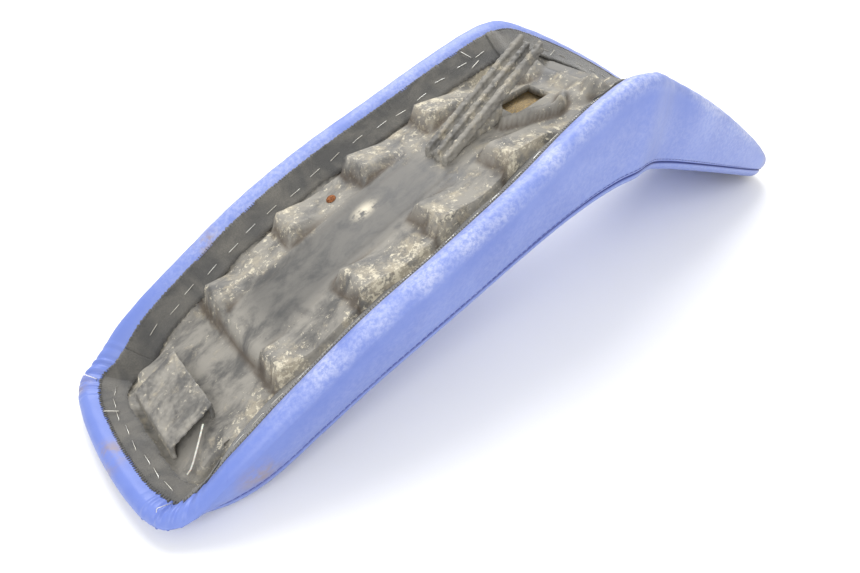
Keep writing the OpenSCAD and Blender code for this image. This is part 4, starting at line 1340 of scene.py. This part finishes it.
def bevelled_piece(name, shapes, material, width, segments=3, **marks):
    work = block_mesh(shapes)
    bmesh.ops.bevel(work, geom=list(work.edges), offset=width * MM, segments=segments, affect="EDGES",
                    profile=0.5, clamp_overlap=True)
    bmesh.ops.recalc_face_normals(work, faces=work.faces)
    mesh = bpy.data.meshes.new(name)
    work.to_mesh(mesh)
    work.free()
    mesh.materials.append(material)
    mesh.polygons.foreach_set("use_smooth", [True] * len(mesh.polygons))
    piece = bpy.data.objects.new(name, mesh)
    bpy.context.scene.collection.objects.link(piece)
    # An even fine mesh over the bevelled shape lets dirt and wear show in its outline too.
    even = piece.modifiers.new("even", "REMESH")
    even.mode, even.voxel_size, even.use_smooth_shade = "VOXEL", 0.0008, True
    fine = bpy.data.meshes.new_from_object(piece.evaluated_get(bpy.context.evaluated_depsgraph_get()))
    piece.modifiers.clear()
    piece.data = fine
    fine.name = name
    if not fine.materials:
        fine.materials.append(material)
    points = np.array([v.co for v in fine.vertices]) / MM
    normals = np.array([v.normal for v in fine.vertices])
    moved = points + normals * (0.28 * crumbs(points) + 0.16 * edge_frays(points))[:, None]
    fine.vertices.foreach_set("co", (moved * MM).ravel())
    fine.update()
    for key, value in marks.items():
        lumpy = 0.12 * mud_lumps(points) if key == "mud" else 0
        paint(piece, key, np.full(len(points), value) + lumpy)
    return piece


def box_corners(x, y, z, lx, ly, lz):
    return [(x + i * lx / 2, y + j * ly / 2, z + k * lz / 2)
            for i in (-1, 1) for j in (-1, 1) for k in (-1, 1)]

# %% Ribs and webs
def hook_pt(share, up):
    base = float(floor_z(np.array(HOOK_X))) + HOOK_PLATE / 2 + 2 * GAP
    return HOOK_X + HOOK_L * share, base + HOOK_L * share * math.tan(math.radians(HOOK_TILT)) + up


def hook_bar(y, start, end, up, wide, high):
    corners = []
    for share in (start, end):
        x, z = hook_pt(share, up)
        corners += box_corners(x, y, z, 2, wide, high)
    return corners


edge = (HOOK_W - RIB_W) / 2
ribs = [hook_bar(y, -0.10, 1.0 - 0.04 * (y == 0), (HOOK_PLATE + RIB_H) / 2 - 1.5, RIB_W, RIB_H + 3)
        for y in (-edge, 0, edge)]
web_x = HOOK_X + HOOK_L * WEB_SHARE
webs = []
for side in (-1, 1):
    corners = []
    for share in (0.04, WEB_SHARE):
        x, z = hook_pt(share, 0)
        corners += box_corners(x, side * edge, z, 2.4, 2.4, 2.4)
    corners += box_corners(web_x, side * edge, float(floor_z(np.array(web_x))) + 2, 2.4, 2.4, 2.4)
    webs.append(corners)
hook = bevelled_piece("hook_moulding", ribs + [hook_bar(0, -0.08, 0.93, 0, HOOK_W - 1, HOOK_PLATE)] + webs,
                      pan_plastic, 1.4, mud=0.50, wiped=0.1, cream=0.0, nook=0.0)
stands_for(hook, "pan_plastic", "front_hook")

# %% [markdown]
# # The rear box
#
# A low box stands at the rear of the pan, its top parallel to the floor and its right side open.
# It is a shell of five walls joined as hulls, with bevelled edges and a thick coat of mud.

# %% Rear box
BOX_X, BOX_L, BOX_W, BOX_H, BOX_WALL = 25, 34, 66, 13, 3


def box_wall_shape(x0, x1, y0, y1, low, high):
    """A wall between two x and two y, from a height above the floor to another."""
    corners = []
    for x in (x0, x1):
        base = float(floor_z(np.array(x))) + 4 * GAP
        corners += [(x, y, base + z) for y in (y0, y1) for z in (low, high)]
    return corners


x0, x1, half = BOX_X, BOX_X + BOX_L, BOX_W / 2
walls = [box_wall_shape(x0, x1, -half, half, BOX_H - BOX_WALL, BOX_H),
         box_wall_shape(x0, x0 + BOX_WALL, -half, half, 0, BOX_H - 0.5),
         box_wall_shape(x1 - BOX_WALL, x1, -half, half, 0, BOX_H - 0.5),
         box_wall_shape(x0, x1, half - BOX_WALL, half, 0, BOX_H - 0.5)]
rear_box = bevelled_piece("rear_box_moulding", walls, pan_plastic, 1.2, mud=0.50, wiped=0.0, cream=0.0, nook=0.0)
stands_for(rear_box, "pan_plastic", "rear_box")

# %% [markdown]
# # The rivet and the tie
#
# The rivet's head is turned: its profile is drawn once and spun about its axis. The tail is the
# cut end of a nylon tie that is still caught in the box: stiff, flat, ribbed and slightly bent.

# %% Rivet
RIVET_X, RIVET_Y, RIVET_SLOPE = 204, 42, 23
rivet_z = float(floor_z(np.array(RIVET_X)))
profile = [(0.0, 1.75), (1.4, 1.7), (2.6, 1.4), (3.4, 0.95), (3.85, 0.45), (4.0, 0.0), (2.0, -0.1),
           (1.9, -PAN_T - 1), (0.0, -PAN_T - 1)]
TURNS = 40
ring = np.array([[(r * math.cos(a), r * math.sin(a), z + GAP) for a in np.linspace(0, 2 * np.pi, TURNS, False)]
                 for r, z in profile[1:-1]])
lean = Matrix.Rotation(math.radians(-RIVET_SLOPE), 3, "Y")
points = np.concatenate([ring.reshape(-1, 3), [(0, 0, profile[0][1] + GAP), (0, 0, profile[-1][1] + GAP)]])
points = points @ np.array(lean).T + (RIVET_X, RIVET_Y, rivet_z)
k = np.arange(len(ring) * TURNS).reshape(len(ring), TURNS)
k = np.concatenate([k, k[:, :1]], 1)
faces = [tuple(f) for f in quads_of(k).reshape(-1, 4)]
top, low = len(points) - 2, len(points) - 1
faces += [(top, int(k[0, i]), int(k[0, i + 1])) for i in range(TURNS)]
faces += [(low, int(k[-1, i + 1]), int(k[-1, i])) for i in range(TURNS)]
stands_for(make_piece("rusty_rivet", points, faces, rust), "rusty_steel", "drain_rivet")

# %% Tie tail
TIE = np.array([(49, -35.5, 34), (44, -41, 31), (37, -47, 25), (31, -51, 19), (27, -52, 16)], float)
TIE_W, TIE_T = 2.4, 1.0
t = np.linspace(0, 1, 60)
knots = np.linspace(0, 1, len(TIE))
centre = np.stack([curve(np.stack([knots, TIE[:, i]], 1), t) for i in range(3)], 1)
forward = np.gradient(centre, axis=0)
forward /= np.linalg.norm(forward, axis=1, keepdims=True)
side = np.cross(forward, (0, 0, 1.0))
side /= np.linalg.norm(side, axis=1, keepdims=True)
up = np.cross(side, forward)
ribbed = 0.10 * np.sin(t * 2 * np.pi * 26)
section = [(-0.5, -0.5), (-0.5, 0.3), (-0.36, 0.5), (0.36, 0.5), (0.5, 0.3), (0.5, -0.5)]
strips = np.stack([centre + side * (a * TIE_W * 0.5) + up * (b * TIE_T * 0.8 + (b > 0.4) * ribbed)[:, None]
                   for a, b in section], 1)
k = np.arange(strips.shape[0] * 6).reshape(-1, 6)
k = np.concatenate([k, k[:, :1]], 1)
faces = [tuple(f) for f in quads_of(k).reshape(-1, 4)] + [tuple(k[0, :6][::-1]), tuple(k[-1, :6])]
stands_for(make_piece("tie_tail", strips.reshape(-1, 3), faces, nylon), "nylon", "cable_tie_tail")

# %% [markdown]
# # Bench and light
#
# The seat lies on a plain pale bench under broad soft light, bright enough that the bench almost
# vanishes. One large lamp above and behind gives the rim its soft highlight, and a weaker one
# opens up the side that faces the camera.

# %% Stage
bench_mesh = bpy.data.meshes.new("bench")
BENCH = 6.0
bench_mesh.from_pydata([(-BENCH, -BENCH, 0), (BENCH, -BENCH, 0), (BENCH, BENCH, 0), (-BENCH, BENCH, 0)], [],
                       [(0, 1, 2, 3)])
bench_paint, n, shader = new_material("bench_paint", 0.6)
cloud = n.noise(n.coords(), 3.0, 3, 0.5)
n.link(n.blend(n.between(cloud, 0.3, 0.7), (0.90, 0.90, 0.89), (0.94, 0.94, 0.93)), shader["Base Color"])
bench_mesh.materials.append(bench_paint)
bench = bpy.data.objects.new("bench", bench_mesh)
bpy.context.scene.collection.objects.link(bench)
bpy.context.scene.view_settings.view_transform = "Standard"

# %% Lamps
def soft_lamp(name, place, target, size, power):
    data = bpy.data.lights.new(name, "AREA")
    data.shape, data.size, data.energy = "DISK", size, power
    lamp = bpy.data.objects.new(name, data)
    lamp.matrix_world = (Matrix.Translation(place)
                         @ (Vector(target) - Vector(place)).to_track_quat("-Z", "Y").to_matrix().to_4x4())
    bpy.context.scene.collection.objects.link(lamp)


soft_lamp("key", (0.5, 1.0, 1.9), (0, 0, 0.1), 1.8, 44)
soft_lamp("fill", (-1.2, -1.3, 1.3), (0, 0, 0.1), 1.6, 22)
world = bpy.data.worlds.new("room")
world.use_nodes = True
world.node_tree.nodes["Background"].inputs["Color"].default_value = (1.0, 1.0, 1.0, 1)
world.node_tree.nodes["Background"].inputs["Strength"].default_value = 0.8
bpy.context.scene.world = world
print(len(bpy.data.lights), "lamps and a white room")

# %% [markdown]
# # What is soft
#
# The foam is a full, firm pad. The four pieces of vinyl are sheets stretched over it. Each one's
# flat size is its length along the seam and its run from edge to edge, measured on the mesh, with
# its own area where the cut isn't a rectangle.


for piece, b in ((left_side, placed(sides_s, 1)), (right_side, placed(sides_s, -1)), (rear_panel, rear_stations)):
    face = panel_surface(b, 0)
